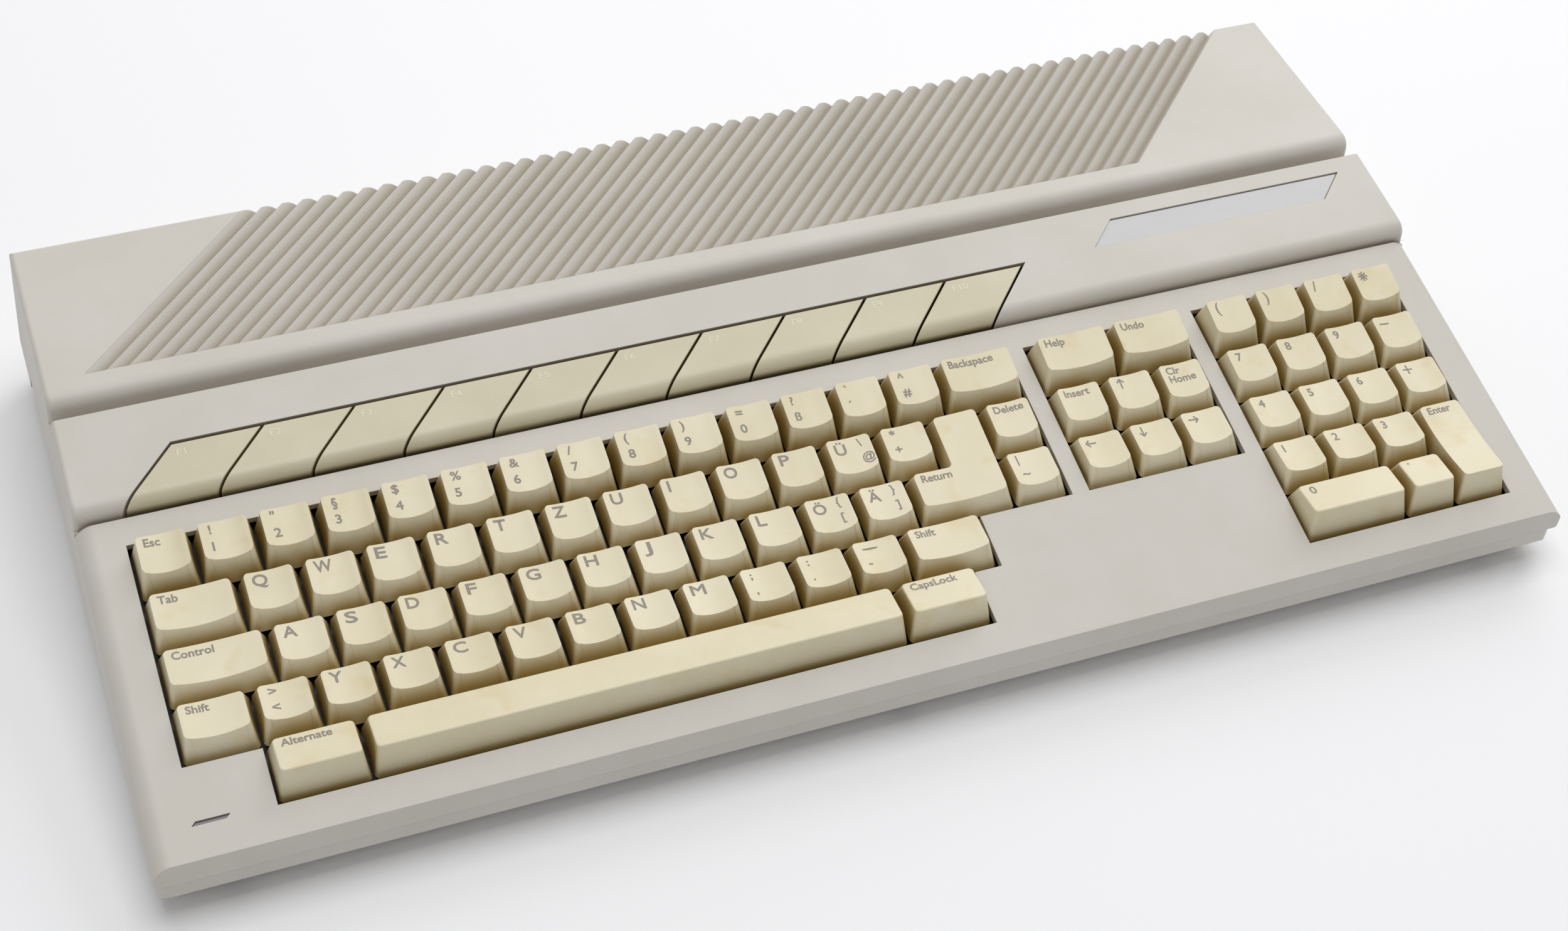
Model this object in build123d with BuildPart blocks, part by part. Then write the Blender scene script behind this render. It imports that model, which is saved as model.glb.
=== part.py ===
from build123d import *
from math import cos, radians, sin, tan
import os

# A home computer of the wedge type: two plastic shells, the keyboard built into the sloping
# deck, the sockets in the back and the sides. Millimetres and degrees, +X to the right as
# the user sits, +Y to the back, +Z up. The origin is the middle of the footprint, on the table.

os.makedirs("parts", exist_ok=True)

# ---------------------------------------------------------------- case, outside
side_margin = 13.6875      # the flat rear top runs this far beyond the outer key cells
side_draft = 3.2           # the side and back walls lean out by this angle towards the base
overall_depth = 240.0      # front lip to the ends of the rear sockets
overall_height = 60.0
parting_height = 18.0      # the shells meet here
rear_socket_reach = 1.85   # the rear sockets stand this far out of the back wall
wall = 2.6                 # shell thickness
parting_gap = 0.5          # shadow line between the shells
parting_inset = 0.8        # the lower shell stands this far inside the upper one
deck_side_radius = 6.0     # rolled side edges beside the keyboard
top_side_radius = 1.6      # side edges of the band, side and back edges of the rear top
corner_radius = 3.0        # upright front corners of the upper shell

# ---------------------------------------------------------------- deck, band and rear top
deck_slope = 11.5
lip_lean = 1.35            # the front face leans out by this much from crease to lip
crease_height = 25.0       # where the front face turns into the deck
deck_back_margin = 10.7    # along the slope, last key row to the groove under the band
band_groove = 1.2          # gap between the deck and the rolled front of the band
band_nose_radius = 4.75
band_nose_rise = 1.05      # centre of the roll above the rear edge of the deck
band_slope = 8.4
band_length = 32.5         # along the slope, from the roll to the rear edge
groove_depth = 3.0         # floor of the band's front groove below the deck edge
top_groove = 6.8           # channel between the band and the rolled front of the rear top
top_groove_depth = 9.0
top_nose_radius = 4.7

# ---------------------------------------------------------------- diagonal ribs of the rear top
rib_pitch = 5.0            # across the ribs
rib_height = 3.4           # valley to crest
rib_back_flank = 1.9       # run of the steep flank that faces back and left
rib_bulge = 0.3            # swelling of the long flank that faces front and right
rib_skim = 0.05            # the crests stand this far below the flat top
rib_angle = 45.0
rib_side_inset = 13.5      # the field's corners, in from the side edges of the rear top
rib_front_inset = 10.1     # its front line, behind the front of the rear top

# ---------------------------------------------------------------- keyboard
key_pitch = 19.05
block_gap = 7.0            # between the main, cursor and number blocks
crease_to_keys = 11.75     # front crease to the first row's cell
opening_gap_x = 0.45       # deck opening beyond the outer cells
opening_gap_y = 0.9
cap_gap = 0.4              # cap skirt inside its cell, each side
cap_side_inset = 2.08      # top face inside its cell at the sides
cap_back_inset = 1.45
cap_front_inset = 5.36
cap_corner = 1.2           # chamfer of the upright corners
cap_wall = 1.4
cap_dish = 1.1             # depth of the hollow top
cap_dish_strips = 4        # the hollow is a trough of this many flat strips
cap_rim = 0.4              # flat rim beside it
cap_reach = 14.0           # height of the cutting bodies of the caps
skirt_level = -2.5         # lower edge of the caps, from the deck surface
key_travel = 3.8
stem_side = 4.6
guide_clearance = 0.3
guide_wall = 1.2
frame_top = -7.4           # top of the keyboard frame plate
frame_plate = 1.6
guide_top = -3.6           # top of the guide barrels
stem_bottom = -10.2
dome_top_gap = 10.3        # tops of the domes, below the deck surface
dome_height = 4.2
dome_radius = 3.8
dome_sheet_thickness = 0.6
board_thickness = 1.6
frame_margin = 4.5         # frame beyond the outer cells
frame_skirt = 1.5
frame_step_margin = 7.0    # frame beyond the right end of the function keys

# height of the cap's top face at its back and front edge, for the rows from the front
cap_back_height = {1: 5.4, 2: 3.4, 3: 3.0, 4: 4.4, 5: 7.5}
cap_front_height = {1: 8.6, 2: 5.0, 3: 3.6, 4: 4.0, 5: 6.2}

# ---------------------------------------------------------------- function keys
function_count = 10
function_pitch = 29.4
function_gap = 1.0
function_left = -0.4       # front left corner of their opening, from the first cell
function_lean = 0.945      # sideways run of the slanted sides per length up the deck
function_depth = 21.6      # their opening, along the deck
function_front_gap = 0.7   # skirt of the function keys behind the deck's rear edge
function_wall = 1.7

# ---------------------------------------------------------------- nameplate and power lamp
plate_inset = 114.2        # its front left corner, in from the right edge of the rear top
plate_front = 15.65        # and behind the front edge of the band
plate_width = 91.3
plate_depth = 10.2
plate_thickness = 0.8
plate_recess = 1.2
plate_clearance = 0.25
lamp_left = -1.8           # front left corner of the slot, from the first cell
lamp_front = 10.8          # along the deck from the crease
lamp_length = 10.2
lamp_width = 1.35
lamp_lens_height = 4.0
lamp_lens_drop = 0.6       # top of the lens below the deck
lamp_clearance = 0.1

# ---------------------------------------------------------------- inside and underneath
foot_height = 3.0
foot_radius = 7.0
foot_sides = 24
foot_recess = 0.6
foot_bevel = 0.8
foot_clearance = 0.1
foot_inset_x = 30.0        # in from the edges of the rear top
foot_inset_y = 28.0        # in from the front lip and from the ends of the rear sockets
floor_thickness = 2.4
lower_corner_radius = 6.0
lower_edge_radius = 6.0    # rolled lower edges of the sides
front_undercut = 8.0       # slanted underside of the front, its run
undercut_height = 10.9     # and where it starts
rim_clearance = 0.6        # locating rim of the lower shell inside the upper one
rim_thickness = 1.1
rim_height = 1.5
screw_radius = 1.5
screw_head_radius = 2.9
screw_head_height = 2.0
screw_seat = 6.4           # the rear heads bear here
front_screw_seat = 12.0    # and the front ones higher, above the slanted underside
boss_radius = 3.2
tube_radius = 4.2
front_screw_grip = 2.2     # tips of the front screws under the roofs of their bosses
rear_screw_tip = 32.0
hidden_sides = 8           # posts, tubes and bores out of sight are many-sided
screw_clearance = 0.05     # thread in its boss
shank_clearance = 0.25     # shank in the lower shell
head_clearance = 0.3
corner_screw_inset = 21.0  # front corner screws, in from the edges of the rear top
side_screw_inset = 7.0     # side screws, the same
side_screw_back = 20.15    # and in from the back wall
post_radius = 3.5
post_back = 27.0           # row of posts, behind the front lip
post_side_inset = 42.0     # outer posts, in from the edges of the rear top
post_middle_x = (-60.0, 75.0)
board_height = 10.0        # underside of the main board
board_side_inset = 13.0
board_front_inset = 42.0
board_back_inset = 10.75
shield_sheet = 0.8
shield_front_inset = 54.0  # from the front lip
shield_step_front = 12.9   # the upper shield rises this far before the rear top
shield_back_inset = 9.4    # from the back edge of the board
shield_left_inset = 49.0
shield_right_inset = 30.0
shield_low_rise = 4.8      # front part of the upper shield above the board
shield_top_gap = 22.0      # its rear part under the top of the case
lower_shield_side = 4.0    # lower shield inside the edges of the board
lower_shield_end = 3.0
chip_height = 3.2
ribbon_left = -60.0
ribbon_width = 40.0
ribbon_back = 80.0         # behind the front lip
ribbon_thickness = 0.6
ribbon_plug_wall = 2.0     # its plug beyond the ribbon at each end
ribbon_plug_depth = 5.0
ribbon_plug_height = 3.0

# ---------------------------------------------------------------- sockets and switches
socket_clearance = 0.5
d_flange_height = 12.5
d_flange_thickness = 0.8
d_shell_height = 8.4
d_shell_wall = 0.5
d_lean = 10.0              # slanted ends of the D-shaped shells
d_shell_reach = 3.8        # rear shells, out from the flange
side_shell_reach = 3.2
d_body_depth = 13.0
flange_width = {25: 53.0, 19: 44.0, 9: 30.8}
shell_width = {25: 39.0, 19: 30.5, 9: 16.9}
jack_spacing = {25: 47.04, 19: 38.0}
flange_gap = 0.3           # flanges above the board
jack_across_flats = 5.0
jack_length = 3.6
din_radius = 7.4
din_sides = 20
din_body = 18.0
din_body_depth = 10.5
din_body_height = 14.0
rear_row_inset = 26.0      # first rear socket, in from the right edge of the rear top
# from each place of the rear row to the next: two small round sockets, modem, printer,
# hard disk, three large round sockets, case screw, power rocker, reset button
rear_row_steps = (25.0, 44.0, 58.0, 54.0, 42.0, 23.0, 25.0, 17.0, 22.0, 33.0)
switch_wall = 1.5
switch_depth = 14.5
rocker_z = 21.5
rocker_width = 18.6
rocker_height = 11.0
rocker_play = 0.5
rocker_throw = 12.0        # degrees from off to on
rocker_pin = 1.2
pin_sides = 12
reset_radius = 3.2
reset_travel = 1.5
joystick_back = (92.0, 132.0)   # behind the front lip
cartridge_inset = 56.15    # middle of the slot, in from the back wall
cartridge_length = 64.0    # opening in the left side
cartridge_height = 9.0
cartridge_slot = 56.0      # hollow of the connector
cartridge_slot_height = 5.0
cartridge_slot_depth = 14.0
cartridge_body = 32.0

# ---------------------------------------------------------------- worked-out places
rise = radians(deck_slope)
front_lip = -overall_depth / 2
rear_reach = overall_depth / 2
crease_y = front_lip + lip_lean
deck_length = crease_to_keys + 5 * key_pitch + deck_back_margin
function_back = deck_length + function_depth
deck_rear_y = crease_y + deck_length * cos(rise)
deck_rear_z = crease_height + deck_length * sin(rise)
keyboard_width = (15.5 + 3 + 4) * key_pitch + 2 * block_gap
keyboard_left = -keyboard_width / 2
block_start = {"main": 0.0, "cursor": 15.5 * key_pitch + block_gap}
block_start["pad"] = block_start["cursor"] + 3 * key_pitch + block_gap

band_tilt = radians(band_slope)
band_nose_y = deck_rear_y + band_groove + band_nose_radius
band_nose_z = deck_rear_z + band_nose_rise
band_start_y = band_nose_y - band_nose_radius * sin(band_tilt)
band_start_z = band_nose_z + band_nose_radius * cos(band_tilt)
band_rear_y = band_start_y + band_length * cos(band_tilt)
band_rear_z = band_start_z + band_length * sin(band_tilt)
top_front_y = band_rear_y + top_groove
top_nose_z = overall_height - top_nose_radius
top_groove_floor = overall_height - top_groove_depth
top_half = keyboard_width / 2 + side_margin
side_slope = tan(radians(side_draft))
lip_half = top_half + (overall_height - parting_height) * side_slope
back_wall_y = rear_reach - rear_socket_reach
back_top_edge = back_wall_y - (overall_height - parting_height) * side_slope
rear_row = [top_half - rear_row_inset]
for step in rear_row_steps:
    rear_row.append(rear_row[-1] - step)
modem_x, printer_x, disk_d_x = rear_row[2:5]
round_socket_x = rear_row[:2] + rear_row[5:8]
rear_screw_x, rocker_x, reset_x = rear_row[8:]
cartridge_y = back_wall_y - cartridge_inset
beyond = 30.0              # how far cutting bodies run past what they cut

# The deck plane starts at the front crease; its X runs along the keys from the first cell.
deck = Plane(
    origin=(keyboard_left, crease_y, crease_height),
    x_dir=(1, 0, 0),
    z_dir=(0, -sin(rise), cos(rise)),
)
band = Plane(
    origin=(0, band_start_y, band_start_z),
    x_dir=(1, 0, 0),
    z_dir=(0, -sin(band_tilt), cos(band_tilt)),
)


def row_start(row):
    """Front edge of a key row's cells, along the deck from the crease."""
    return crease_to_keys + (row - 1) * key_pitch


def leaning_box(x0, y0, width, depth, lean):
    """Corners of a parallelogram whose sides lean to the right going back."""
    return [(x0, y0), (x0 + width, y0), (x0 + width + lean, y0 + depth), (x0 + lean, y0 + depth)]


def wall_plane(side, inset=0.0):
    """The leaning plane of a side wall, +1 right or -1 left, facing outwards."""
    lean = radians(side_draft)
    return Plane(
        origin=(side * (top_half - inset), 0, overall_height),
        x_dir=(0, 1, 0),
        z_dir=(side * cos(lean), 0, sin(lean)),
    )


def save(piece, name):
    """Label a finished piece and write it."""
    piece.part.label = name
    export_step(piece.part, f"parts/{name}.step")


def post(radius, height, sides=hidden_sides):
    """An upright many-sided post, or the body that cuts its bore."""
    with BuildPart() as body:
        with BuildSketch():
            RegularPolygon(radius, sides)
        extrude(amount=height)
    return body.part


# ================================================================ cutting bodies
# Hollow of the upper shell: the outside profile, one wall thickness in.
roof_under = overall_height - wall - rib_height
under_deck = wall / cos(rise)
step_y = deck_rear_y - wall
trough_z = deck_rear_z - groove_depth - wall
channel_z = top_groove_floor - wall
with BuildPart() as shell_hollow:
    with BuildSketch(Plane.YZ):
        with BuildLine():
            Polyline(
                (front_lip + wall, parting_height - beyond),
                (front_lip + wall, parting_height),
                (crease_y + wall, crease_height + wall * tan(rise) - under_deck),
                (step_y, deck_rear_z - wall * tan(rise) - under_deck),
                (step_y, trough_z),
                (deck_rear_y + band_groove + wall, trough_z),
                (deck_rear_y + band_groove + wall, band_nose_z),
                (band_nose_y + wall, band_start_z + wall * tan(band_tilt) - wall / cos(band_tilt)),
                (band_rear_y - wall, band_rear_z - wall * tan(band_tilt) - wall / cos(band_tilt)),
                (band_rear_y - wall, channel_z),
                (top_front_y + wall, channel_z),
                (top_front_y + wall, top_nose_z),
                (top_front_y + top_nose_radius, roof_under),
                (back_top_edge - wall, roof_under),
                (back_wall_y - wall, parting_height),
                (back_wall_y - wall, parting_height - beyond),
                close=True,
            )
        make_face()
    extrude(amount=lip_half + beyond, both=True)
    split(bisect_by=wall_plane(1, wall), keep=Keep.BOTTOM)
    split(bisect_by=wall_plane(-1, wall), keep=Keep.BOTTOM)

# Openings of the deck for the three key blocks, each row as wide as its keys.
key_rows = [
    ("main", 1, 1.25, 13.25),
    ("main", 2, 0.0, 13.75),
    ("main", 3, 0.0, 15.5),
    ("main", 4, 0.0, 15.5),
    ("main", 5, 0.0, 15.5),
    ("cursor", 3, 0.0, 3.0),
    ("cursor", 4, 0.0, 3.0),
    ("cursor", 5, 0.0, 3.0),
    ("pad", 1, 0.0, 4.0),
    ("pad", 2, 0.0, 4.0),
    ("pad", 3, 0.0, 4.0),
    ("pad", 4, 0.0, 4.0),
    ("pad", 5, 0.0, 4.0),
]
with BuildPart() as key_openings:
    with BuildSketch(deck.offset(-beyond / 2)):
        for block, row, first, last in key_rows:
            middle = block_start[block] + (first + last) / 2 * key_pitch
            with Locations((middle, row_start(row) + key_pitch / 2)):
                Rectangle((last - first) * key_pitch + 2 * opening_gap_x, key_pitch + 2 * opening_gap_y)
    extrude(amount=beyond)

with BuildPart() as function_opening:
    with BuildSketch(deck.offset(-beyond / 2)):
        with BuildLine():
            Polyline(
                *leaning_box(
                    function_left,
                    deck_length,
                    function_count * function_pitch + function_gap,
                    function_depth,
                    function_lean * function_depth,
                ),
                close=True,
            )
        make_face()
    extrude(amount=2 * beyond)

# The rib field: the cutter takes the valleys out of the flat rear top, out over the back edge.
# Each rib has a short steep flank to the back left and a long swelling one to the front right.
rib_field_left = rib_side_inset - top_half
rib_field_front = top_front_y + rib_front_inset
rib_step = rib_pitch / sin(radians(rib_angle))
rib_lean = (back_top_edge - rib_field_front) / tan(radians(rib_angle))
rib_count = int((2 * (top_half - rib_side_inset) - rib_lean) / rib_step)
rib_run = back_wall_y + beyond - rib_field_front
rib_start = Plane(
    origin=(rib_field_left, rib_field_front, overall_height - rib_skim),
    x_dir=(sin(radians(rib_angle)), -cos(radians(rib_angle)), 0),
    z_dir=(-cos(radians(rib_angle)), -sin(radians(rib_angle)), 0),
)
with BuildPart() as rib_cutter:
    with BuildSketch(rib_start.offset(beyond)):
        with BuildLine():
            for number in range(rib_count):
                crest = number * rib_pitch
                valley = crest + rib_pitch - rib_back_flank
                SagittaArc((crest, 0), (valley, -rib_height), rib_bulge)
                Line((valley, -rib_height), (crest + rib_pitch, 0))
            Polyline(
                (rib_count * rib_pitch, 0),
                (rib_count * rib_pitch, beyond),
                (0, beyond),
                (0, 0),
            )
        make_face()
    extrude(amount=-(rib_count * rib_step + rib_run + 2 * beyond))
    with BuildSketch(Plane.XY.offset(overall_height - 2 * rib_height)):
        with BuildLine():
            Polyline(
                *leaning_box(
                    rib_field_left,
                    rib_field_front,
                    rib_count * rib_step,
                    rib_run,
                    rib_run / tan(radians(rib_angle)),
                ),
                close=True,
            )
        make_face()
    extrude(amount=beyond, mode=Mode.INTERSECT)

# The rolled side edges of the deck, cut along the line where it meets the leaning wall.
draft = radians(side_draft)
roll_in = deck_side_radius * (1 - sin(draft)) / cos(draft)
roll_plane = Plane(
    origin=(lip_half - (crease_height - parting_height) * side_slope, crease_y, crease_height),
    x_dir=(1, 0, 0),
    z_dir=(sin(rise) * side_slope, -cos(rise), -sin(rise)),
)
with BuildPart() as side_rolls:
    with BuildSketch(roll_plane.offset(beyond)):
        with BuildLine():
            CenterArc((-roll_in, -deck_side_radius), deck_side_radius, side_draft, 90 - side_draft)
            Polyline(
                (-roll_in, 0),
                (-roll_in, beyond),
                (beyond, beyond),
                (beyond, -deck_side_radius * (1 - sin(draft))),
                (
                    -roll_in + deck_side_radius * cos(draft),
                    -deck_side_radius * (1 - sin(draft)),
                ),
            )
        make_face()
    extrude(amount=-(deck_length + beyond))
    mirror(about=Plane.YZ)

# The rounded upright front corners.
with BuildPart() as corner_cutter:
    with Locations((lip_half - corner_radius, front_lip + corner_radius, overall_height / 2)):
        Box(beyond, beyond, overall_height, align=(Align.MIN, Align.MAX, Align.CENTER))
        Cylinder(corner_radius, overall_height, mode=Mode.SUBTRACT)
    mirror(about=Plane.YZ)

# Holes for the sockets, through whichever shell they meet.
board_top = board_height + board_thickness
socket_z = board_top + d_flange_height / 2 + flange_gap
joystick_y = [front_lip + back for back in joystick_back]
rear_d = [(modem_x, 25, True), (printer_x, 25, False), (disk_d_x, 19, False)]
hole_reach = 3 * wall
rocker_hole_width = rocker_width + 2 * rocker_play + 2 * switch_wall + 2 * socket_clearance
rocker_hole_height = rocker_height + 2 * rocker_play + 2 * switch_wall + 2 * socket_clearance
with BuildPart() as socket_holes:
    for x, pins, hollow in rear_d:
        with Locations((x, back_wall_y, socket_z)):
            Box(
                flange_width[pins] + 2 * socket_clearance,
                2 * hole_reach,
                d_flange_height + 2 * socket_clearance,
            )
    for x in round_socket_x:
        with Locations((x, back_wall_y + hole_reach, socket_z)):
            add(
                post(din_radius + socket_clearance, 2 * hole_reach, din_sides),
                rotation=(90, 0, 0),
            )
    with Locations((rocker_x, back_wall_y, rocker_z)):
        Box(rocker_hole_width, 2 * hole_reach, rocker_hole_height)
    with Locations((reset_x, back_wall_y + hole_reach, socket_z)):
        add(
            post(reset_radius + socket_clearance, 2 * hole_reach, din_sides),
            rotation=(90, 0, 0),
        )
    for y in joystick_y:
        with Locations((lip_half, y, socket_z)):
            Box(
                2 * hole_reach,
                flange_width[9] + 2 * socket_clearance,
                d_flange_height + 2 * socket_clearance,
            )
    with Locations((-lip_half, cartridge_y, socket_z)):
        Box(2 * hole_reach, cartridge_length, cartridge_height)

# ================================================================ upper shell
# Screw places: X, Y, top of the boss, tip of the screw, seat of its head.
front_screw_y = front_lip + wall + boss_radius
rear_screw_y = back_wall_y - wall - boss_radius + 0.3
boss_roof = overall_height - wall - rib_height + 0.5
front_boss_roof = crease_height - wall + 1.5
screw_places = [
    (x, front_screw_y, front_boss_roof, front_boss_roof - front_screw_grip, front_screw_seat)
    for x in (corner_screw_inset - top_half, 0.0, top_half - corner_screw_inset)
]
side_screw_y = back_wall_y - side_screw_back
screw_places += [
    (side_screw_inset - top_half, side_screw_y, boss_roof, rear_screw_tip, screw_seat),
    (rear_screw_x, rear_screw_y, boss_roof, rear_screw_tip, screw_seat),
    (top_half - side_screw_inset, side_screw_y, boss_roof, rear_screw_tip, screw_seat),
]
boss_foot = parting_height - 0.1
plate_left = top_half - plate_inset
with BuildPart() as upper_case:
    with BuildSketch(Plane.YZ):
        with BuildLine():
            Polyline(
                (front_lip, parting_height),
                (crease_y, crease_height),
                (deck_rear_y, deck_rear_z),
                (deck_rear_y, deck_rear_z - groove_depth),
                (deck_rear_y + band_groove, deck_rear_z - groove_depth),
                (deck_rear_y + band_groove, band_nose_z),
            )
            CenterArc((band_nose_y, band_nose_z), band_nose_radius, 180, band_slope - 90)
            Polyline(
                (band_start_y, band_start_z),
                (band_rear_y, band_rear_z),
                (band_rear_y, top_groove_floor),
                (top_front_y, top_groove_floor),
                (top_front_y, top_nose_z),
            )
            CenterArc((top_front_y + top_nose_radius, top_nose_z), top_nose_radius, 180, -90)
            Polyline(
                (top_front_y + top_nose_radius, overall_height),
                (back_top_edge, overall_height),
                (back_wall_y, parting_height),
                (front_lip, parting_height),
            )
        make_face()
    extrude(amount=lip_half + beyond, both=True)
    split(bisect_by=wall_plane(1), keep=Keep.BOTTOM)
    split(bisect_by=wall_plane(-1), keep=Keep.BOTTOM)
    high_edges = edges().filter_by(lambda e: e.center().Z > band_start_z)
    band_sides = high_edges.filter_by(lambda e: band_start_y < e.center().Y < band_rear_y)
    band_sides = band_sides.filter_by(lambda e: abs(e.center().X) > 1)
    top_sides = high_edges.filter_by(lambda e: e.center().Z > overall_height - 0.01)
    top_sides = top_sides.filter_by(lambda e: e.center().Y > top_front_y + top_nose_radius + 1)
    fillet(band_sides + top_sides, top_side_radius)
    add(side_rolls.part, mode=Mode.SUBTRACT)
    add(corner_cutter.part, mode=Mode.SUBTRACT)
    add(shell_hollow.part, mode=Mode.SUBTRACT)
    for x, y, top, tip, seat in screw_places:
        with Locations((x, y, boss_foot)):
            add(post(boss_radius, top - boss_foot))
    add(rib_cutter.part, mode=Mode.SUBTRACT)
    add(key_openings.part, mode=Mode.SUBTRACT)
    add(function_opening.part, mode=Mode.SUBTRACT)
    add(socket_holes.part, mode=Mode.SUBTRACT)
    with BuildSketch(band.offset(-plate_recess)):
        with BuildLine():
            Polyline(
                *leaning_box(
                    plate_left - plate_clearance,
                    plate_front - plate_clearance,
                    plate_width + 2 * plate_clearance,
                    plate_depth + 2 * plate_clearance,
                    plate_depth + 2 * plate_clearance,
                ),
                close=True,
            )
        make_face()
    extrude(amount=beyond, mode=Mode.SUBTRACT)
    with BuildSketch(deck.offset(-beyond / 4)):
        with BuildLine():
            Polyline(
                *leaning_box(lamp_left, lamp_front, lamp_length, lamp_width, lamp_width),
                close=True,
            )
        make_face()
    extrude(amount=beyond, mode=Mode.SUBTRACT)
    for x, y, top, tip, seat in screw_places:
        with Locations((x, y, boss_foot)):
            add(post(screw_radius + screw_clearance, tip + 0.5 - boss_foot), mode=Mode.SUBTRACT)
save(upper_case, "upper_case")

# ================================================================ lower shell
lower_half = lip_half - parting_inset
lower_front = front_lip + parting_inset
lower_back = back_wall_y - parting_inset
lower_top = parting_height - parting_gap
floor_top = foot_height + floor_thickness
inner_half = lower_half - wall
inner_front = lower_front + wall
inner_back = lower_back - wall
rim_half = lip_half - wall - rim_clearance
with BuildPart() as tray_hollow:
    with BuildSketch(Plane.YZ):
        with BuildLine():
            Polyline(
                (inner_front, beyond),
                (inner_front + 0.2, undercut_height + 1.0),
                (inner_front + front_undercut - 1.0, floor_top),
                (inner_back - 2.0, floor_top),
                (inner_back, floor_top + 2.0),
                (inner_back, beyond),
                close=True,
            )
        make_face()
    extrude(amount=inner_half, both=True)
    with BuildSketch(Plane.XZ):
        with BuildLine():
            Polyline(
                (-inner_half, beyond),
                (-inner_half, floor_top + 3.0),
                (-inner_half + 3.0, floor_top),
                (inner_half - 3.0, floor_top),
                (inner_half, floor_top + 3.0),
                (inner_half, beyond),
                close=True,
            )
        make_face()
    extrude(amount=2 * overall_depth, both=True, mode=Mode.INTERSECT)
with BuildPart() as locating_rim:
    rim_depth = (back_wall_y - front_lip) - 2 * (wall + rim_clearance)
    with BuildSketch(Plane.XY.offset(lower_top - 2.0)):
        with Locations((0, (back_wall_y + front_lip) / 2)):
            Rectangle(2 * rim_half, rim_depth)
            Rectangle(2 * (rim_half - rim_thickness), rim_depth - 2 * rim_thickness, mode=Mode.SUBTRACT)
    extrude(amount=2.0 + rim_height)
    for x, y, top, tip, seat in screw_places:
        with Locations((x, y, boss_foot)):
            add(post(boss_radius + rim_clearance, beyond), mode=Mode.SUBTRACT)
circuit_under = deck.offset(-(dome_top_gap + dome_height + dome_sheet_thickness + board_thickness))
with BuildPart() as tray_outside:
    with BuildSketch(Plane.YZ):
        with BuildLine():
            Polyline(
                (lower_front, lower_top),
                (lower_front + 0.4, undercut_height),
                (lower_front + front_undercut, foot_height),
                (lower_back - 4.0, foot_height),
                (lower_back, foot_height + 4.0),
                (lower_back, lower_top),
                close=True,
            )
        make_face()
    extrude(amount=lower_half, both=True)
    with BuildSketch():
        with Locations((0, (lower_front + lower_back) / 2)):
            RectangleRounded(2 * lower_half, lower_back - lower_front, lower_corner_radius)
    extrude(amount=parting_height, mode=Mode.INTERSECT)
    with BuildSketch(Plane.XZ):
        with Locations((0, foot_height + overall_height / 2)):
            RectangleRounded(2 * lower_half, overall_height, lower_edge_radius)
    extrude(amount=overall_depth, both=True, mode=Mode.INTERSECT)
with BuildPart() as tray_tubes:
    for x, y, top, tip, seat in screw_places:
        with Locations((x, y, 0)):
            add(post(tube_radius, lower_top))
    add(tray_outside.part, mode=Mode.INTERSECT)
    for x, y, top, tip, seat in screw_places:
        with Locations((x, y, seat)):
            add(post(boss_radius, boss_foot - seat))
post_x = (post_side_inset - top_half, *post_middle_x, top_half - post_side_inset)
with BuildPart() as keyboard_posts:
    for x in post_x:
        with Locations((x, front_lip + post_back, foot_height + floor_thickness / 2)):
            add(post(post_radius, beyond))
    split(bisect_by=circuit_under, keep=Keep.BOTTOM)
foot_x = top_half - foot_inset_x
foot_y = rear_reach - foot_inset_y
foot_places = [(-foot_x, -foot_y), (foot_x, -foot_y), (-foot_x, foot_y), (foot_x, foot_y)]
with BuildPart() as lower_case:
    add(tray_outside.part)
    add(tray_hollow.part, mode=Mode.SUBTRACT)
    add(locating_rim.part)
    add(keyboard_posts.part)
    add(tray_tubes.part)
    add(socket_holes.part, mode=Mode.SUBTRACT)
    for x, y, top, tip, seat in screw_places:
        with Locations((x, y, 0)):
            add(post(screw_radius + shank_clearance, overall_height), mode=Mode.SUBTRACT)
            add(post(screw_head_radius + head_clearance, seat), mode=Mode.SUBTRACT)
    for x, y in foot_places:
        with Locations((x, y, 0)):
            add(
                post(foot_radius + foot_clearance, foot_height + foot_recess, foot_sides),
                mode=Mode.SUBTRACT,
            )
save(lower_case, "lower_case")

with BuildPart() as feet:
    for x, y in foot_places:
        with Locations((x, y, 0)):
            add(post(foot_radius, foot_height + foot_recess, foot_sides))
    chamfer(faces().filter_by(lambda f: f.center().Z < 0.01).edges(), foot_bevel)
save(feet, "feet")

with BuildPart() as case_screws:
    for x, y, top, tip, seat in screw_places:
        with Locations((x, y, seat - screw_head_height)):
            add(post(screw_head_radius, screw_head_height))
            add(post(screw_radius, tip - seat + screw_head_height))
            add(post(screw_head_radius / 3, screw_head_height / 2), mode=Mode.SUBTRACT)
save(case_screws, "case_screws")

# ================================================================ nameplate and lamp lens
with BuildPart() as nameplate:
    with BuildSketch(band.offset(-plate_recess)):
        with BuildLine():
            Polyline(
                *leaning_box(plate_left, plate_front, plate_width, plate_depth, plate_depth),
                close=True,
            )
        make_face()
    extrude(amount=plate_thickness)
    chamfer(faces().sort_by(Axis.Z)[-1].edges(), 0.2)
save(nameplate, "nameplate")

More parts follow.
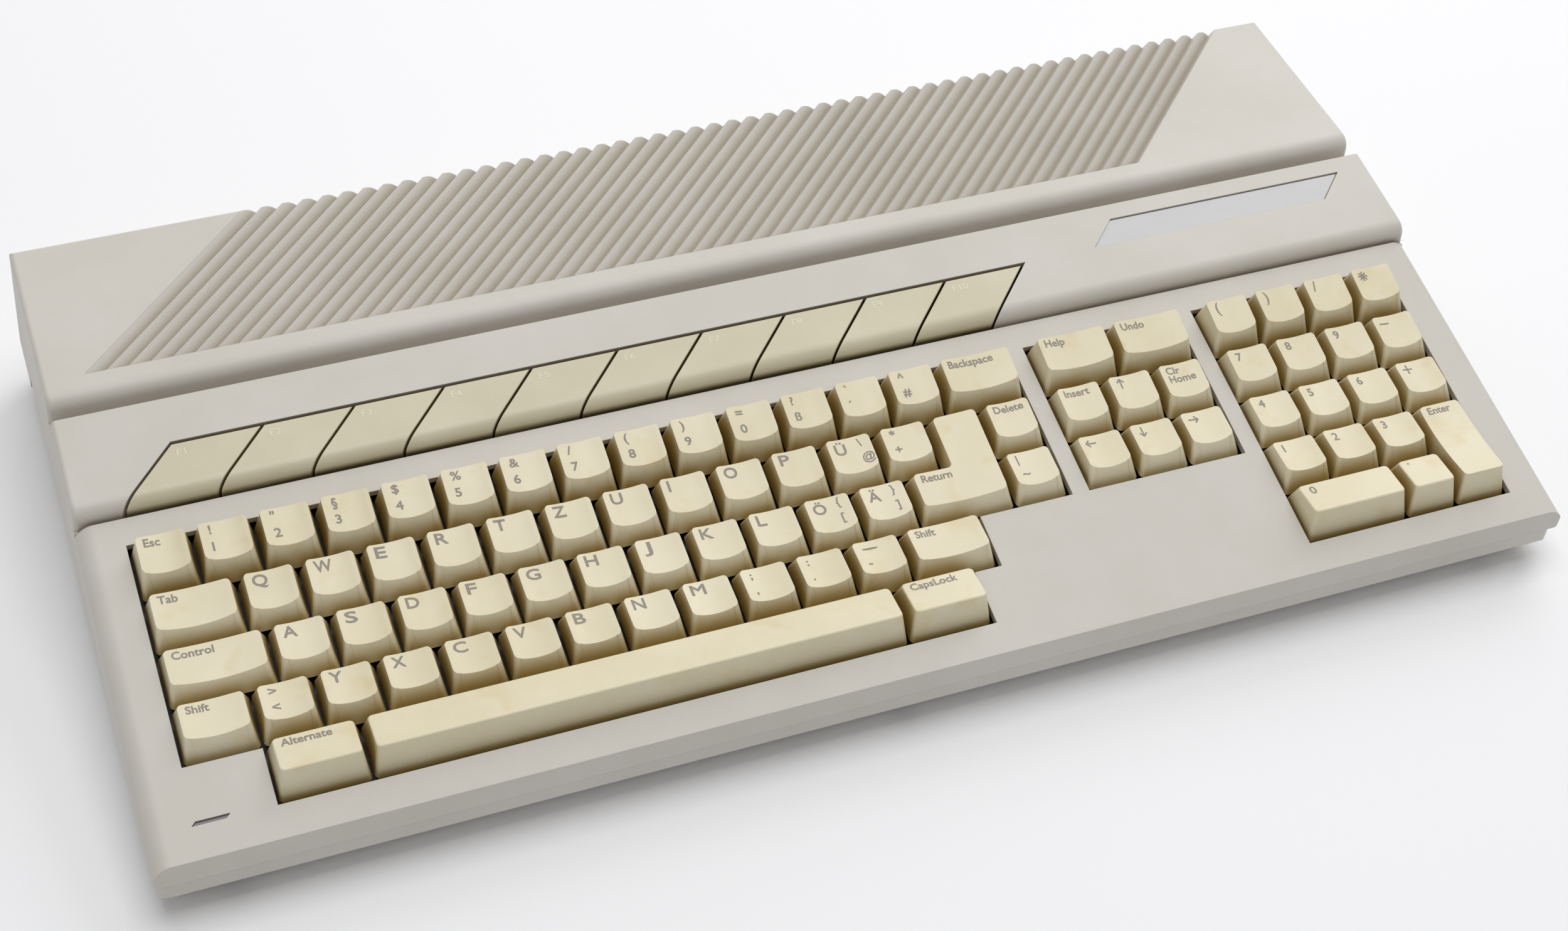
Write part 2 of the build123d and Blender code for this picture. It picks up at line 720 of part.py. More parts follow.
lens_flange = 1.0
with BuildPart() as lamp_lens:
    with BuildSketch(deck.offset(-lamp_lens_drop)):
        with BuildLine():
            Polyline(
                *leaning_box(
                    lamp_left + lamp_clearance + 0.04,
                    lamp_front + lamp_clearance,
                    lamp_length - 2 * (lamp_clearance + 0.04),
                    lamp_width - 2 * lamp_clearance,
                    lamp_width - 2 * lamp_clearance,
                ),
                close=True,
            )
        make_face()
    extrude(amount=lamp_lens_drop - wall)
    with BuildSketch(deck.offset(-wall)):
        with Locations((lamp_left + (lamp_length + lamp_width) / 2, lamp_front + lamp_width / 2)):
            Rectangle(lamp_length + lamp_width + 2 * lens_flange, lamp_width + 2 * lens_flange)
    extrude(amount=-lens_flange)
save(lamp_lens, "lamp_lens")

led_x = lamp_left + (lamp_length + lamp_width) / 2
led_top = wall + lens_flange
with BuildPart() as power_led:
    with BuildSketch(deck.offset(-led_top)):
        with Locations((led_x, lamp_front + lamp_width / 2)):
            Rectangle(5.0, 2.5)
    extrude(amount=led_top + frame_top)
save(power_led, "power_led")

# ================================================================ key caps
# A cap is built over its cell: X from the middle of the cell, Y from the cell's front edge,
# Z from the deck surface.


def cap_outline(front, back, base, tops, half_base, lean):
    """A block with the side profile through tops and both sides leaning in by lean."""
    with BuildPart() as block:
        with BuildSketch(Plane.YZ):
            with BuildLine():
                Polyline((front, base), *tops, (back, base), close=True)
            make_face()
        extrude(amount=half_base, both=True)
        with BuildSketch(Plane.XZ):
            with BuildLine():
                Polyline(
                    (-half_base, base),
                    (half_base, base),
                    (half_base - lean * cap_reach, base + cap_reach),
                    (-half_base + lean * cap_reach, base + cap_reach),
                    close=True,
                )
            make_face()
        extrude(amount=-3 * beyond, mode=Mode.INTERSECT)
    return block.part


def cap_shapes(width, depth, tops, dish):
    """The outside and the hollow of a cap; tops are its top points (Y, Z) from the front."""
    half = width / 2
    top_middle = sum(z for y, z in tops) / len(tops)
    lean = (cap_side_inset - cap_gap) / (top_middle - skirt_level)
    outside = cap_outline(cap_gap, depth - cap_gap, skirt_level, tops, half - cap_gap, lean)
    ceiling = min(z for y, z in tops) - dish - cap_wall
    front_y, front_z = tops[0]
    back_y, back_z = tops[-1]
    front_lean = (front_y - cap_gap) / (front_z - skirt_level)
    back_lean = (depth - cap_gap - back_y) / (back_z - skirt_level)
    rise_inside = ceiling - skirt_level
    hollow = cap_outline(
        cap_gap + cap_wall,
        depth - cap_gap - cap_wall,
        skirt_level,
        [
            (cap_gap + cap_wall + front_lean * rise_inside, ceiling),
            (depth - cap_gap - cap_wall - back_lean * rise_inside, ceiling),
        ],
        half - cap_gap - cap_wall,
        lean,
    )
    return outside, hollow, ceiling


def is_corner(edge):
    """True for the four sloping corner edges of a cap."""
    low = min((edge @ 0).Z, (edge @ 1).Z)
    high = max((edge @ 0).Z, (edge @ 1).Z)
    return low < skirt_level + 0.01 and high > skirt_level + 1


def key_cap(width, depth, tops, dish=0.0, stems=((0.0, 0.0),)):
    """A hollow cap with its square plungers; stems are offsets from the cap's middle."""
    outside, hollow, ceiling = cap_shapes(width, depth, tops, dish)
    with BuildPart() as cap:
        add(outside)
        chamfer(edges().filter_by(is_corner), cap_corner)
        if dish > 0:
            front_y, front_z = tops[0]
            back_y, back_z = tops[-1]
            half_chord = width / 2 - cap_side_inset - cap_rim
            stations = [2 * n / cap_dish_strips - 1 for n in range(cap_dish_strips + 1)]
            along = Plane(
                origin=(0, front_y, front_z),
                x_dir=(1, 0, 0),
                z_dir=(0, back_y - front_y, back_z - front_z),
            )
            with BuildSketch(along.offset(-beyond)):
                with BuildLine():
                    Polyline(
                        *[(t * half_chord, dish * (1 - t**2)) for t in stations],
                        (half_chord, -beyond),
                        (-half_chord, -beyond),
                        close=True,
                    )
                make_face()
            extrude(amount=3 * beyond, mode=Mode.SUBTRACT)
        add(hollow, mode=Mode.SUBTRACT)
        for x, y in stems:
            with Locations((x, depth / 2 + y, stem_bottom)):
                Box(
                    stem_side,
                    stem_side,
                    ceiling + 0.5 - stem_bottom,
                    align=(Align.CENTER, Align.CENTER, Align.MIN),
                )
    return cap.part


def row_tops(row, depth=key_pitch):
    """Top points of an ordinary key of this row."""
    return [
        (cap_front_inset, cap_front_height[row]),
        (depth - cap_back_inset, cap_back_height[row]),
    ]


def key_seat(block, row, start, width):
    """Where a cap stands: middle of its cell's front edge, on the deck plane."""
    x = block_start[block] + (start + width / 2) * key_pitch
    return deck.location * Pos(x, row_start(row), 0)


def plunger_spot(block, row, start, width, depth=1.0, offset=0.0):
    """Deck coordinates of a plunger."""
    x = block_start[block] + (start + width / 2) * key_pitch + offset
    return (x, row_start(row) + depth * key_pitch / 2)


single_keys = {
    "esc_key": ("main", 5, 0.0, 1.0),
    "backspace_key": ("main", 5, 14.0, 1.5),
    "tab_key": ("main", 4, 0.0, 1.5),
    "delete_key": ("main", 4, 14.5, 1.0),
    "control_key": ("main", 3, 0.0, 1.75),
    "shift_left_key": ("main", 2, 0.0, 1.25),
    "shift_right_key": ("main", 2, 12.25, 1.5),
    "alternate_key": ("main", 1, 1.25, 1.5),
    "caps_lock_key": ("main", 1, 11.75, 1.5),
    "help_key": ("cursor", 5, 0.0, 1.5),
    "undo_key": ("cursor", 5, 1.5, 1.5),
    "insert_key": ("cursor", 4, 0.0, 1.0),
    "arrow_up_key": ("cursor", 4, 1.0, 1.0),
    "clear_home_key": ("cursor", 4, 2.0, 1.0),
    "arrow_left_key": ("cursor", 3, 0.0, 1.0),
    "arrow_down_key": ("cursor", 3, 1.0, 1.0),
    "arrow_right_key": ("cursor", 3, 2.0, 1.0),
    "pad_zero_key": ("pad", 1, 0.0, 2.0),
}
group_keys = {
    "digit_row_keys": [("main", 5, 1.0 + n, 1.0) for n in range(13)],
    "upper_letter_keys": [("main", 4, 1.5 + n, 1.0) for n in range(12)],
    "home_letter_keys": [("main", 3, 1.75 + n, 1.0) for n in range(11)]
    + [("main", 3, 14.5, 1.0)],
    "lower_letter_keys": [("main", 2, 1.25 + n, 1.0) for n in range(11)],
    "number_pad_keys": [("pad", row, 1.0 * n, 1.0) for row in (5, 4, 3) for n in range(4)]
    + [("pad", 2, 1.0 * n, 1.0) for n in range(3)]
    + [("pad", 1, 2.0, 1.0)],
}
space_start = 2.75
space_width = 9.0
space_guides = (-62.0, 0.0, 62.0)
plungers = []
cap_shape_store = {}


def ordinary_cap(row, width):
    """The cap of a row and a width in units, built once."""
    if (row, width) not in cap_shape_store:
        dish = 0.0 if row == 1 else cap_dish
        cap_shape_store[(row, width)] = key_cap(width * key_pitch, key_pitch, row_tops(row), dish)
    return cap_shape_store[(row, width)]


for name, (block, row, start, width) in single_keys.items():
    with BuildPart() as single:
        with Locations(key_seat(block, row, start, width)):
            add(ordinary_cap(row, width))
    save(single, name)
    plungers.append(plunger_spot(block, row, start, width))

for name, members in group_keys.items():
    with BuildPart() as group:
        for block, row, start, width in members:
            with Locations(key_seat(block, row, start, width)):
                add(ordinary_cap(row, width))
            plungers.append(plunger_spot(block, row, start, width))
    save(group, name)

space_cap = key_cap(
    space_width * key_pitch, key_pitch, row_tops(1), stems=[(x, 0.0) for x in space_guides]
)
with BuildPart() as space_key:
    with Locations(key_seat("main", 1, space_start, space_width)):
        add(space_cap)
save(space_key, "space_key")
for x in space_guides:
    plungers.append(plunger_spot("main", 1, space_start, space_width, offset=x))

# The tall Enter of the number pad stands over two rows.
enter_tops = [
    (cap_front_inset, cap_front_height[1]),
    (key_pitch, cap_front_height[2]),
    (2 * key_pitch - cap_back_inset, cap_back_height[2]),
]
enter_cap = key_cap(key_pitch, 2 * key_pitch, enter_tops)
with BuildPart() as pad_enter_key:
    with Locations(key_seat("pad", 1, 3.0, 1.0)):
        add(enter_cap)
save(pad_enter_key, "pad_enter_key")
plungers.append(plunger_spot("pad", 1, 3.0, 1.0, depth=2.0))

# Return: an upright part over two rows and a foot to the left in the front row.
upright_tops = [
    (cap_front_inset, cap_front_height[3]),
    (2 * key_pitch - cap_back_inset, cap_back_height[4]),
]
return_slope = (cap_back_height[4] - cap_front_height[3]) / (
    2 * key_pitch - cap_back_inset - cap_front_inset
)
foot_back_y = key_pitch - cap_back_inset
foot_tops = [
    (cap_front_inset, cap_front_height[3]),
    (foot_back_y, cap_front_height[3] + return_slope * (foot_back_y - cap_front_inset)),
]
upright_out, upright_in, return_ceiling = cap_shapes(key_pitch, 2 * key_pitch, upright_tops, 0.3)
foot_out, foot_in, foot_ceiling = cap_shapes(1.75 * key_pitch, key_pitch, foot_tops, 0.3)
foot_shift = -0.375 * key_pitch
with BuildPart() as return_cap:
    add(upright_out)
    with Locations((foot_shift, 0, 0)):
        add(foot_out)
    outer_corners = edges().filter_by(is_corner)
    outer_corners = outer_corners.filter_by(
        lambda e: e.center().X < -key_pitch * 0.6
        or e.center().Y > 1.2 * key_pitch
        or e.center().X > key_pitch * 0.3
    )
    chamfer(outer_corners, cap_corner)
    add(upright_in, mode=Mode.SUBTRACT)
    with Locations((foot_shift, 0, 0)):
        add(foot_in, mode=Mode.SUBTRACT)
    with Locations((0, key_pitch, stem_bottom)):
        Box(
            stem_side,
            stem_side,
            return_ceiling + 0.8 - stem_bottom,
            align=(Align.CENTER, Align.CENTER, Align.MIN),
        )
with BuildPart() as return_key:
    with Locations(key_seat("main", 3, 13.5, 1.0)):
        add(return_cap.part)
save(return_key, "return_key")
plungers.append(plunger_spot("main", 3, 13.5, 1.0, depth=2.0))

# ================================================================ function keys
# The first one is built in its place in the band; the others are the same, one pitch on.
function_skirt_y = deck_length + function_front_gap
function_ceiling = 1.4
function_middle_y = (deck_length + function_back) / 2
function_lean_middle = function_lean * (function_middle_y - deck_length)
function_stem_x = function_left + (function_gap + function_pitch) / 2 + function_lean_middle
function_hollow_y = function_skirt_y + 2.0
function_hollow_depth = function_back - function_gap - function_wall - function_hollow_y
with BuildPart() as function_key:
    with BuildSketch(Plane.YZ.offset(keyboard_left - beyond)):
        with BuildLine():
            Polyline(
                (deck_rear_y + band_groove, deck_rear_z - beyond),
                (deck_rear_y + band_groove, band_nose_z),
            )
            CenterArc((band_nose_y, band_nose_z), band_nose_radius, 180, band_slope - 90)
            Polyline(
                (band_start_y, band_start_z),
                (band_rear_y, band_rear_z),
                (band_rear_y, deck_rear_z - beyond),
                (deck_rear_y + band_groove, deck_rear_z - beyond),
            )
        make_face()
    extrude(amount=4 * beyond)
    with BuildSketch(deck.offset(skirt_level)):
        with BuildLine():
            Polyline(
                *leaning_box(
                    function_left + function_gap,
                    deck_length,
                    function_pitch - function_gap,
                    function_back - function_gap - deck_length,
                    function_lean * (function_back - function_gap - deck_length),
                ),
                close=True,
            )
        make_face()
    extrude(amount=beyond, mode=Mode.INTERSECT)
    with BuildSketch(deck.offset(skirt_level)):
        with BuildLine():
            Polyline(
                *leaning_box(
                    function_left
                    + function_gap
                    + 1.4 * function_wall
                    + function_lean * (function_hollow_y - deck_length),
                    function_hollow_y,
                    function_pitch - function_gap - 2.8 * function_wall,
                    function_hollow_depth,
                    function_lean * function_hollow_depth,
                ),
                close=True,
            )
        make_face()
    extrude(amount=function_ceiling - skirt_level, mode=Mode.SUBTRACT)
    with BuildSketch(deck.offset(stem_bottom)):
        with Locations((function_stem_x, function_middle_y)):
            Rectangle(stem_side, stem_side)
    extrude(amount=function_ceiling + 0.5 - stem_bottom)
for number in range(function_count):
    with BuildPart() as placed_function_key:
        with Locations((number * function_pitch, 0, 0)):
            add(function_key.part)
    save(placed_function_key, f"f{number + 1}_key")
    plungers.append((function_stem_x + number * function_pitch, function_middle_y))

# ================================================================ keyboard frame, domes, circuit
function_right = function_left + function_count * function_pitch + function_gap
frame_step_x = function_right + function_lean * function_depth + frame_step_margin
frame_outline = [
    (-frame_margin, crease_to_keys - frame_margin),
    (keyboard_width + frame_margin, crease_to_keys - frame_margin),
    (keyboard_width + frame_margin, row_start(6) + 2.0),
    (frame_step_x, row_start(6) + 2.0),
    (frame_step_x, function_back + 3.5),
    (-frame_margin, function_back + 3.5),
]
sheet_top = -(dome_top_gap + dome_height)
hole_side = stem_side + 2 * guide_clearance
barrel_side = hole_side + 2 * guide_wall
with BuildPart() as keyboard_frame:
    with BuildSketch(deck.offset(sheet_top)):
        with BuildLine():
            Polyline(*frame_outline, close=True)
        make_face()
    extrude(amount=frame_top - sheet_top)
    with BuildSketch(deck.offset(sheet_top)):
        with BuildLine():
            Polyline(*frame_outline, close=True)
        make_face()
        offset(amount=-frame_skirt, kind=Kind.INTERSECTION)
    extrude(amount=frame_top - frame_plate - sheet_top, mode=Mode.SUBTRACT)
    with BuildSketch(deck.offset(frame_top)):
        for x, y in plungers:
            with Locations((x, y)):
                Rectangle(barrel_side, barrel_side)
    extrude(amount=guide_top - frame_top)
    with BuildSketch(deck.offset(frame_top - frame_plate)):
        for x, y in plungers:
            with Locations((x, y)):
                Rectangle(hole_side, hole_side)
    extrude(amount=beyond, mode=Mode.SUBTRACT)
    # pads against the underside of the deck
    with BuildSketch(deck.offset(frame_top)):
        for x in (-frame_margin + 0.6, keyboard_width + frame_margin - 0.6):
            with Locations((x, row_start(3.5))):
                Rectangle(1.2, 5 * key_pitch + 2 * frame_margin)
        with Locations((keyboard_width / 2, crease_to_keys - frame_margin + 0.75)):
            Rectangle(keyboard_width + 2 * frame_margin, 1.5)
    extrude(amount=-wall - frame_top)
save(keyboard_frame, "keyboard_frame")

with BuildPart() as dome_sheet:
    with BuildSketch(deck.offset(sheet_top - dome_sheet_thickness)):
        with BuildLine():
            Polyline(*frame_outline, close=True)
        make_face()
    extrude(amount=dome_sheet_thickness)
    with BuildSketch(deck.offset(sheet_top)):
        for x, y in plungers:
            with Locations((x, y)):
                RegularPolygon(dome_radius, 4)
    extrude(amount=dome_height)
save(dome_sheet, "dome_sheet")

with BuildPart() as keyboard_circuit:
    with BuildSketch(circuit_under):
        with BuildLine():
            Polyline(*frame_outline, close=True)
        make_face()
    extrude(amount=board_thickness)
save(keyboard_circuit, "keyboard_circuit")

ribbon_y = front_lip + ribbon_back
with BuildPart() as keyboard_ribbon:
    with Locations((ribbon_left, ribbon_y, board_top)):
        Box(
            ribbon_width,
            ribbon_thickness,
            beyond,
            align=(Align.MIN, Align.CENTER, Align.MIN),
        )
    split(bisect_by=circuit_under, keep=Keep.BOTTOM)
    with Locations((ribbon_left - ribbon_plug_wall, ribbon_y, board_top)):
        Box(
            ribbon_width + 2 * ribbon_plug_wall,
            ribbon_plug_depth,
            ribbon_plug_height,
            align=(Align.MIN, Align.CENTER, Align.MIN),
        )
save(keyboard_ribbon, "keyboard_ribbon")

# ================================================================ main board and shields
board_width = 2 * (top_half - board_side_inset)
board_front = front_lip + board_front_inset
board_back = back_wall_y - board_back_inset
board_depth = board_back - board_front
board_middle = (board_front + board_back) / 2
with BuildPart() as main_board:
    with Locations((0, board_middle, board_height)):
        Box(
            board_width,
            board_depth,
            board_thickness,
            align=(Align.CENTER, Align.CENTER, Align.MIN),
        )
save(main_board, "main_board")

shield_front = front_lip + shield_front_inset
shield_step = top_front_y - shield_step_front
shield_back = board_back - shield_back_inset
shield_left = shield_left_inset - top_half
shield_right = top_half - shield_right_inset
shield_low = board_top + shield_low_rise
shield_high = overall_height - shield_top_gap

# Chips: middle X, width, depth of the large ones; the small ones stand in rows of their own.
large_chips = [(-130.0, 24.0, 24.0), (-80.0, 54.0, 15.0), (-10.0, 36.0, 14.0)]
large_chips += [(45.0, 36.0, 14.0), (110.0, 50.0, 15.0), (165.0, 36.0, 14.0)]
small_chip = (8.0, 20.0)
small_chip_pitch = 22.0
large_chip_y = (shield_step + shield_back) / 2
small_chip_y = (shield_front + shield_step) / 2 + small_chip_pitch / 2
chip_places = [(x, large_chip_y, width, depth) for x, width, depth in large_chips]
for first_x, count in ((-150.0, 8), (60.0, 6)):
    chip_places += [(first_x + small_chip_pitch * n, small_chip_y, *small_chip) for n in range(count)]
with BuildPart() as board_chips:
    for x, y, width, depth in chip_places:
        with Locations((x, y, board_top)):
            Box(width, depth, chip_height, align=(Align.CENTER, Align.CENTER, Align.MIN))
save(board_chips, "board_chips")

lower_shield_width = board_width - 2 * lower_shield_side
lower_shield_depth = board_depth - 2 * lower_shield_end
with BuildPart() as lower_shield:
    with Locations((0, board_middle, floor_top)):
        Box(
            lower_shield_width,
            lower_shield_depth,
            board_height - floor_top,
            align=(Align.CENTER, Align.CENTER, Align.MIN),
        )
        with Locations((0, 0, shield_sheet)):
            Box(
                lower_shield_width - 2 * shield_sheet,
                lower_shield_depth - 2 * shield_sheet,
                board_height - floor_top,
                align=(Align.CENTER, Align.CENTER, Align.MIN),
                mode=Mode.SUBTRACT,
            )
save(lower_shield, "lower_shield")

shield_middle = (shield_left + shield_right) / 2
shield_half = (shield_right - shield_left) / 2
with BuildPart() as upper_shield:
    with BuildSketch(Plane.YZ.offset(shield_middle)):
        with BuildLine():
            Polyline(
                (shield_front, board_top),
                (shield_front, shield_low),
                (shield_step, shield_low),
                (shield_step, shield_high),
                (shield_back, shield_high),
                (shield_back, board_top),
                close=True,
            )
        make_face()
    extrude(amount=shield_half, both=True)
    with BuildSketch(Plane.YZ.offset(shield_middle)):
        with BuildLine():
            Polyline(
                (shield_front + shield_sheet, board_top),
                (shield_front + shield_sheet, shield_low - shield_sheet),
                (shield_step + shield_sheet, shield_low - shield_sheet),
                (shield_step + shield_sheet, shield_high - shield_sheet),
                (shield_back - shield_sheet, shield_high - shield_sheet),
                (shield_back - shield_sheet, board_top),
                close=True,
            )
        make_face()
    extrude(amount=shield_half - shield_sheet, both=True, mode=Mode.SUBTRACT)
    with Locations((ribbon_left + ribbon_width / 2, ribbon_y, shield_low)):
        Box(
            ribbon_width + 3 * ribbon_plug_wall,
            ribbon_plug_depth + ribbon_plug_wall,
            4 * shield_sheet,
            mode=Mode.SUBTRACT,
        )
save(upper_shield, "upper_shield")

# ================================================================ sockets


def d_outline(width, height):
    """Corners of the D shape, the wide side up."""
    lean = height * tan(radians(d_lean))
    return [
        (-width / 2, height / 2),
        (width / 2, height / 2),
        (width / 2 - lean, -height / 2),
        (-width / 2 + lean, -height / 2),
    ]


def d_connector(face, pins, reach, hollow):
    """A D connector whose flange lies in face; a hollow one has open room for its mate."""
    with BuildPart() as connector:
        with BuildSketch(face):
            Rectangle(flange_width[pins], d_flange_height)
        extrude(amount=-d_flange_thickness)
        with BuildSketch(face.offset(-d_flange_thickness)):
            with Locations((0, (d_flange_height / 2 - 0.5 + board_top - socket_z) / 2)):
                Rectangle(shell_width[pins] + 5.0, d_flange_height / 2 - 0.5 + socket_z - board_top)
        extrude(amount=-d_body_depth)
        with BuildSketch(face):
            with BuildLine():
                Polyline(*d_outline(shell_width[pins], d_shell_height), close=True)
            make_face()
        extrude(amount=reach)
        if hollow:
            with BuildSketch(face.offset(reach)):
                with BuildLine():
                    Polyline(
                        *d_outline(
                            shell_width[pins] - 2.4 * d_shell_wall,
                            d_shell_height - 2 * d_shell_wall,
                        ),
                        close=True,
                    )
                make_face()
            extrude(amount=-reach - 3.0, mode=Mode.SUBTRACT)
    return connector.part


rear_face_y = rear_reach - d_shell_reach
rear_faces = [
    Plane(origin=(x, rear_face_y, socket_z), x_dir=(-1, 0, 0), z_dir=(0, 1, 0))
    for x, pins, hollow in rear_d
]
rear_parts = [
    d_connector(face, pins, d_shell_reach, hollow)
    for face, (x, pins, hollow) in zip(rear_faces, rear_d)
]
with BuildPart() as rear_d_connectors:
    for piece in rear_parts:
        add(piece)
save(rear_d_connectors, "rear_d_connectors")

with BuildPart() as jack_screws:
    for face, (x, pins, hollow) in zip(rear_faces, rear_d):
        with BuildSketch(face):
            for side in (-1, 1):
                with Locations((side * jack_spacing[pins] / 2, 0)):
                    RegularPolygon(jack_across_flats / 2, 6, major_radius=False)
        extrude(amount=jack_length)
save(jack_screws, "jack_screws")

side_face_x = lip_half - 0.2 - side_shell_reach
side_parts = [
    d_connector(
        Plane(origin=(side_face_x, y, socket_z), x_dir=(0, 1, 0), z_dir=(1, 0, 0)),
        9,
        side_shell_reach,
        True,
    )
    for y in joystick_y
]
with BuildPart() as joystick_sockets:
    for piece in side_parts:
        add(piece)
save(joystick_sockets, "joystick_sockets")

with BuildPart() as round_sockets:
    for x in round_socket_x:
        with Locations((x, shield_back + 1.5, board_top)):
            Box(
                din_body,
                din_body_depth,
                din_body_height,
                align=(Align.CENTER, Align.MIN, Align.MIN),
            )
        with Locations((x, board_back + 0.2, socket_z)):
            add(
                post(din_radius, back_wall_y - 0.6 - board_back - 0.2, din_sides),
                rotation=(-90, 0, 0),
            )
save(round_sockets, "round_sockets")

with BuildPart() as cartridge_connector:
    connector_left = -lip_half + 6.0
    with Locations((connector_left, cartridge_y, board_top)):
        Box(
            cartridge_body,
            cartridge_length - 2.0,
            2 * (socket_z - board_top),
            align=(Align.MIN, Align.CENTER, Align.MIN),
        )
    with Locations((connector_left, cartridge_y, socket_z)):
        Box(
            2 * cartridge_slot_depth,
            cartridge_slot,
            cartridge_slot_height,
            mode=Mode.SUBTRACT,
        )
save(cartridge_connector, "cartridge_connector")

# ================================================================ power rocker and reset
switch_face = back_wall_y - 0.8
rocker_axis_y = switch_face - 4.0
cavity_width = rocker_width + 2 * rocker_play + 0.6
cavity_height = rocker_height + 2 * rocker_play
with BuildPart() as power_switch_body:
    with Locations((rocker_x, switch_face, rocker_z)):
        Box(
            cavity_width + 2 * switch_wall,
            switch_depth,
            cavity_height + 2 * switch_wall,
            align=(Align.CENTER, Align.MAX, Align.CENTER),
        )
        Box(
            cavity_width,
            switch_depth - 2.0,
            cavity_height,
            align=(Align.CENTER, Align.MAX, Align.CENTER),
            mode=Mode.SUBTRACT,
        )
    bore_half = cavity_height / 2 + switch_wall - 0.4
    with Locations((rocker_x, rocker_axis_y, rocker_z - bore_half)):
        add(post(rocker_pin + guide_clearance, 2 * bore_half, pin_sides), mode=Mode.SUBTRACT)
    foot_of_body = rocker_z - cavity_height / 2 - switch_wall
    with Locations((rocker_x, board_back, board_top)):
        Box(
            cavity_width,
            switch_depth - (switch_face - board_back),
            foot_of_body - board_top,
            align=(Align.CENTER, Align.MAX, Align.MIN),
        )
save(power_switch_body, "power_switch_body")

pin_half = cavity_height / 2 + 0.6
with BuildPart() as power_rocker:
    with BuildSketch(Plane.XY.offset(-rocker_height / 2)):
        with BuildLine():
            Polyline(
                (-rocker_width / 2, 4.0),
                (-rocker_width / 2, -1.5),
                (-2.5, -5.0),
                (2.5, -5.0),
                (rocker_width / 2, -1.5),
                (rocker_width / 2, 4.0),
                (0, 2.6),
                close=True,
            )
        make_face()
    extrude(amount=rocker_height)
    with Locations((0, 0, -pin_half)):
        add(post(rocker_pin, 2 * pin_half, pin_sides))
with BuildPart() as turned_rocker:
    with Locations(Location((rocker_x, rocker_axis_y, rocker_z), (0, 0, -rocker_throw / 2))):
        add(power_rocker.part)
save(turned_rocker, "power_rocker")

button_shoulder = board_back + 3.6
with BuildPart() as reset_switch_body:
    with Locations((reset_x, button_shoulder - reset_travel - 0.5, board_top)):
        Box(
            12.0,
            11.0,
            2 * (socket_z - board_top),
            align=(Align.CENTER, Align.MAX, Align.MIN),
        )
    with Locations((reset_x, button_shoulder, socket_z)):
        add(
            post(reset_radius / 2 + guide_clearance, 10.0),
            rotation=(90, 0, 0),
            mode=Mode.SUBTRACT,
        )
save(reset_switch_body, "reset_switch_body")

with BuildPart() as reset_button:
    with Locations((reset_x, button_shoulder, socket_z)):
        add(
            post(reset_radius, rear_reach - 0.6 - button_shoulder, din_sides),
            rotation=(-90, 0, 0),
        )
        add(post(reset_radius / 2, 7.5), rotation=(90, 0, 0))
save(reset_button, "reset_button")
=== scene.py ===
import bmesh
import bpy
from math import cos, pi, radians, sin, tan
from mathutils import Matrix, Vector


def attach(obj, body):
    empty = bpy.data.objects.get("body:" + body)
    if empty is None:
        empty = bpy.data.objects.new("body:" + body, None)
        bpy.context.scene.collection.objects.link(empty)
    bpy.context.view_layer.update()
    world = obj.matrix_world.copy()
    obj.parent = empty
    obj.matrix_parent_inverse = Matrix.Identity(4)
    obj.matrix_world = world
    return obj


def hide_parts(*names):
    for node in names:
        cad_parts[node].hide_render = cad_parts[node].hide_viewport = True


# A home computer of the wedge type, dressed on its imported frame. The plastics, metals and
# rubbers are made here, with the fine key caps and their printed letters. Metres, +X to the
# right as the user sits, +Y to the back, +Z up.

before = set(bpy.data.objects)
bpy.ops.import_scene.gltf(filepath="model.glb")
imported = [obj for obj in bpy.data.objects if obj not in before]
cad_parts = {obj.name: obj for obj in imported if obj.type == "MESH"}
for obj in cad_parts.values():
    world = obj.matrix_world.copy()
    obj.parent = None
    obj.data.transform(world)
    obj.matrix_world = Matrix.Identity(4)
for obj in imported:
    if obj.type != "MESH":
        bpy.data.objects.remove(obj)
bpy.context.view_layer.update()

MM = 0.001

# ---------------------------------------------------------------- places, in millimetres
touch = 0.01               # what lies nearer than this meets
key_pitch = 19.05
block_gap = 7.0
keyboard_width = 22.5 * key_pitch + 2 * block_gap
block_start = {"main": 0.0, "cursor": 15.5 * key_pitch + block_gap}
block_start["pad"] = block_start["cursor"] + 3 * key_pitch + block_gap
crease_to_keys = 11.75     # front crease of the deck to the first row's cells
deck_slope = radians(11.5)
crease_y = -118.65
crease_height = 25.0
keys_to_band = 10.7        # from the last row's cells to the band
deck_length = crease_to_keys + 5 * key_pitch + keys_to_band

# The deck's own frame: X along the keys from the first cell, Y up the deck, Z off it.
deck = (
    Matrix.Scale(MM, 4)
    @ Matrix.Translation((-keyboard_width / 2, crease_y, crease_height))
    @ Matrix.Rotation(deck_slope, 4, "X")
)

# Key caps, in their cells.
skirt_level = -2.5
skirt_gap = 0.4
top_side_inset = 2.08
top_back_inset = 1.45
top_front_inset = 5.36
dish_depth = 1.1
return_dish = 0.6
dish_strips = 10           # across a hollow top
corner_round = 1.5         # radius of the upright corners
rim_round = 0.5            # and of the edge round the top
corner_steps = 4           # facets of such roundings
rim_steps = 3
cap_wall = 1.4
hollow_height = 3.1        # of the open underside, over the guide barrels of a pressed key
hollow_taper = 2.5         # narrower by this on each side at its ceiling
stem_side = 4.6
stem_bottom = -10.2
stem_top = skirt_level + hollow_height + 0.2    # a little inside the cap
space_stem_spread = 62.0   # outer plungers of the space bar, from its middle
base_limit = skirt_level + 0.01                 # the faces of a cap's base lie below it
skirt_limit = skirt_level + 0.1                 # its sides and its top reach above it
upright_least = 4.0        # side edges of a cap rise by more than this
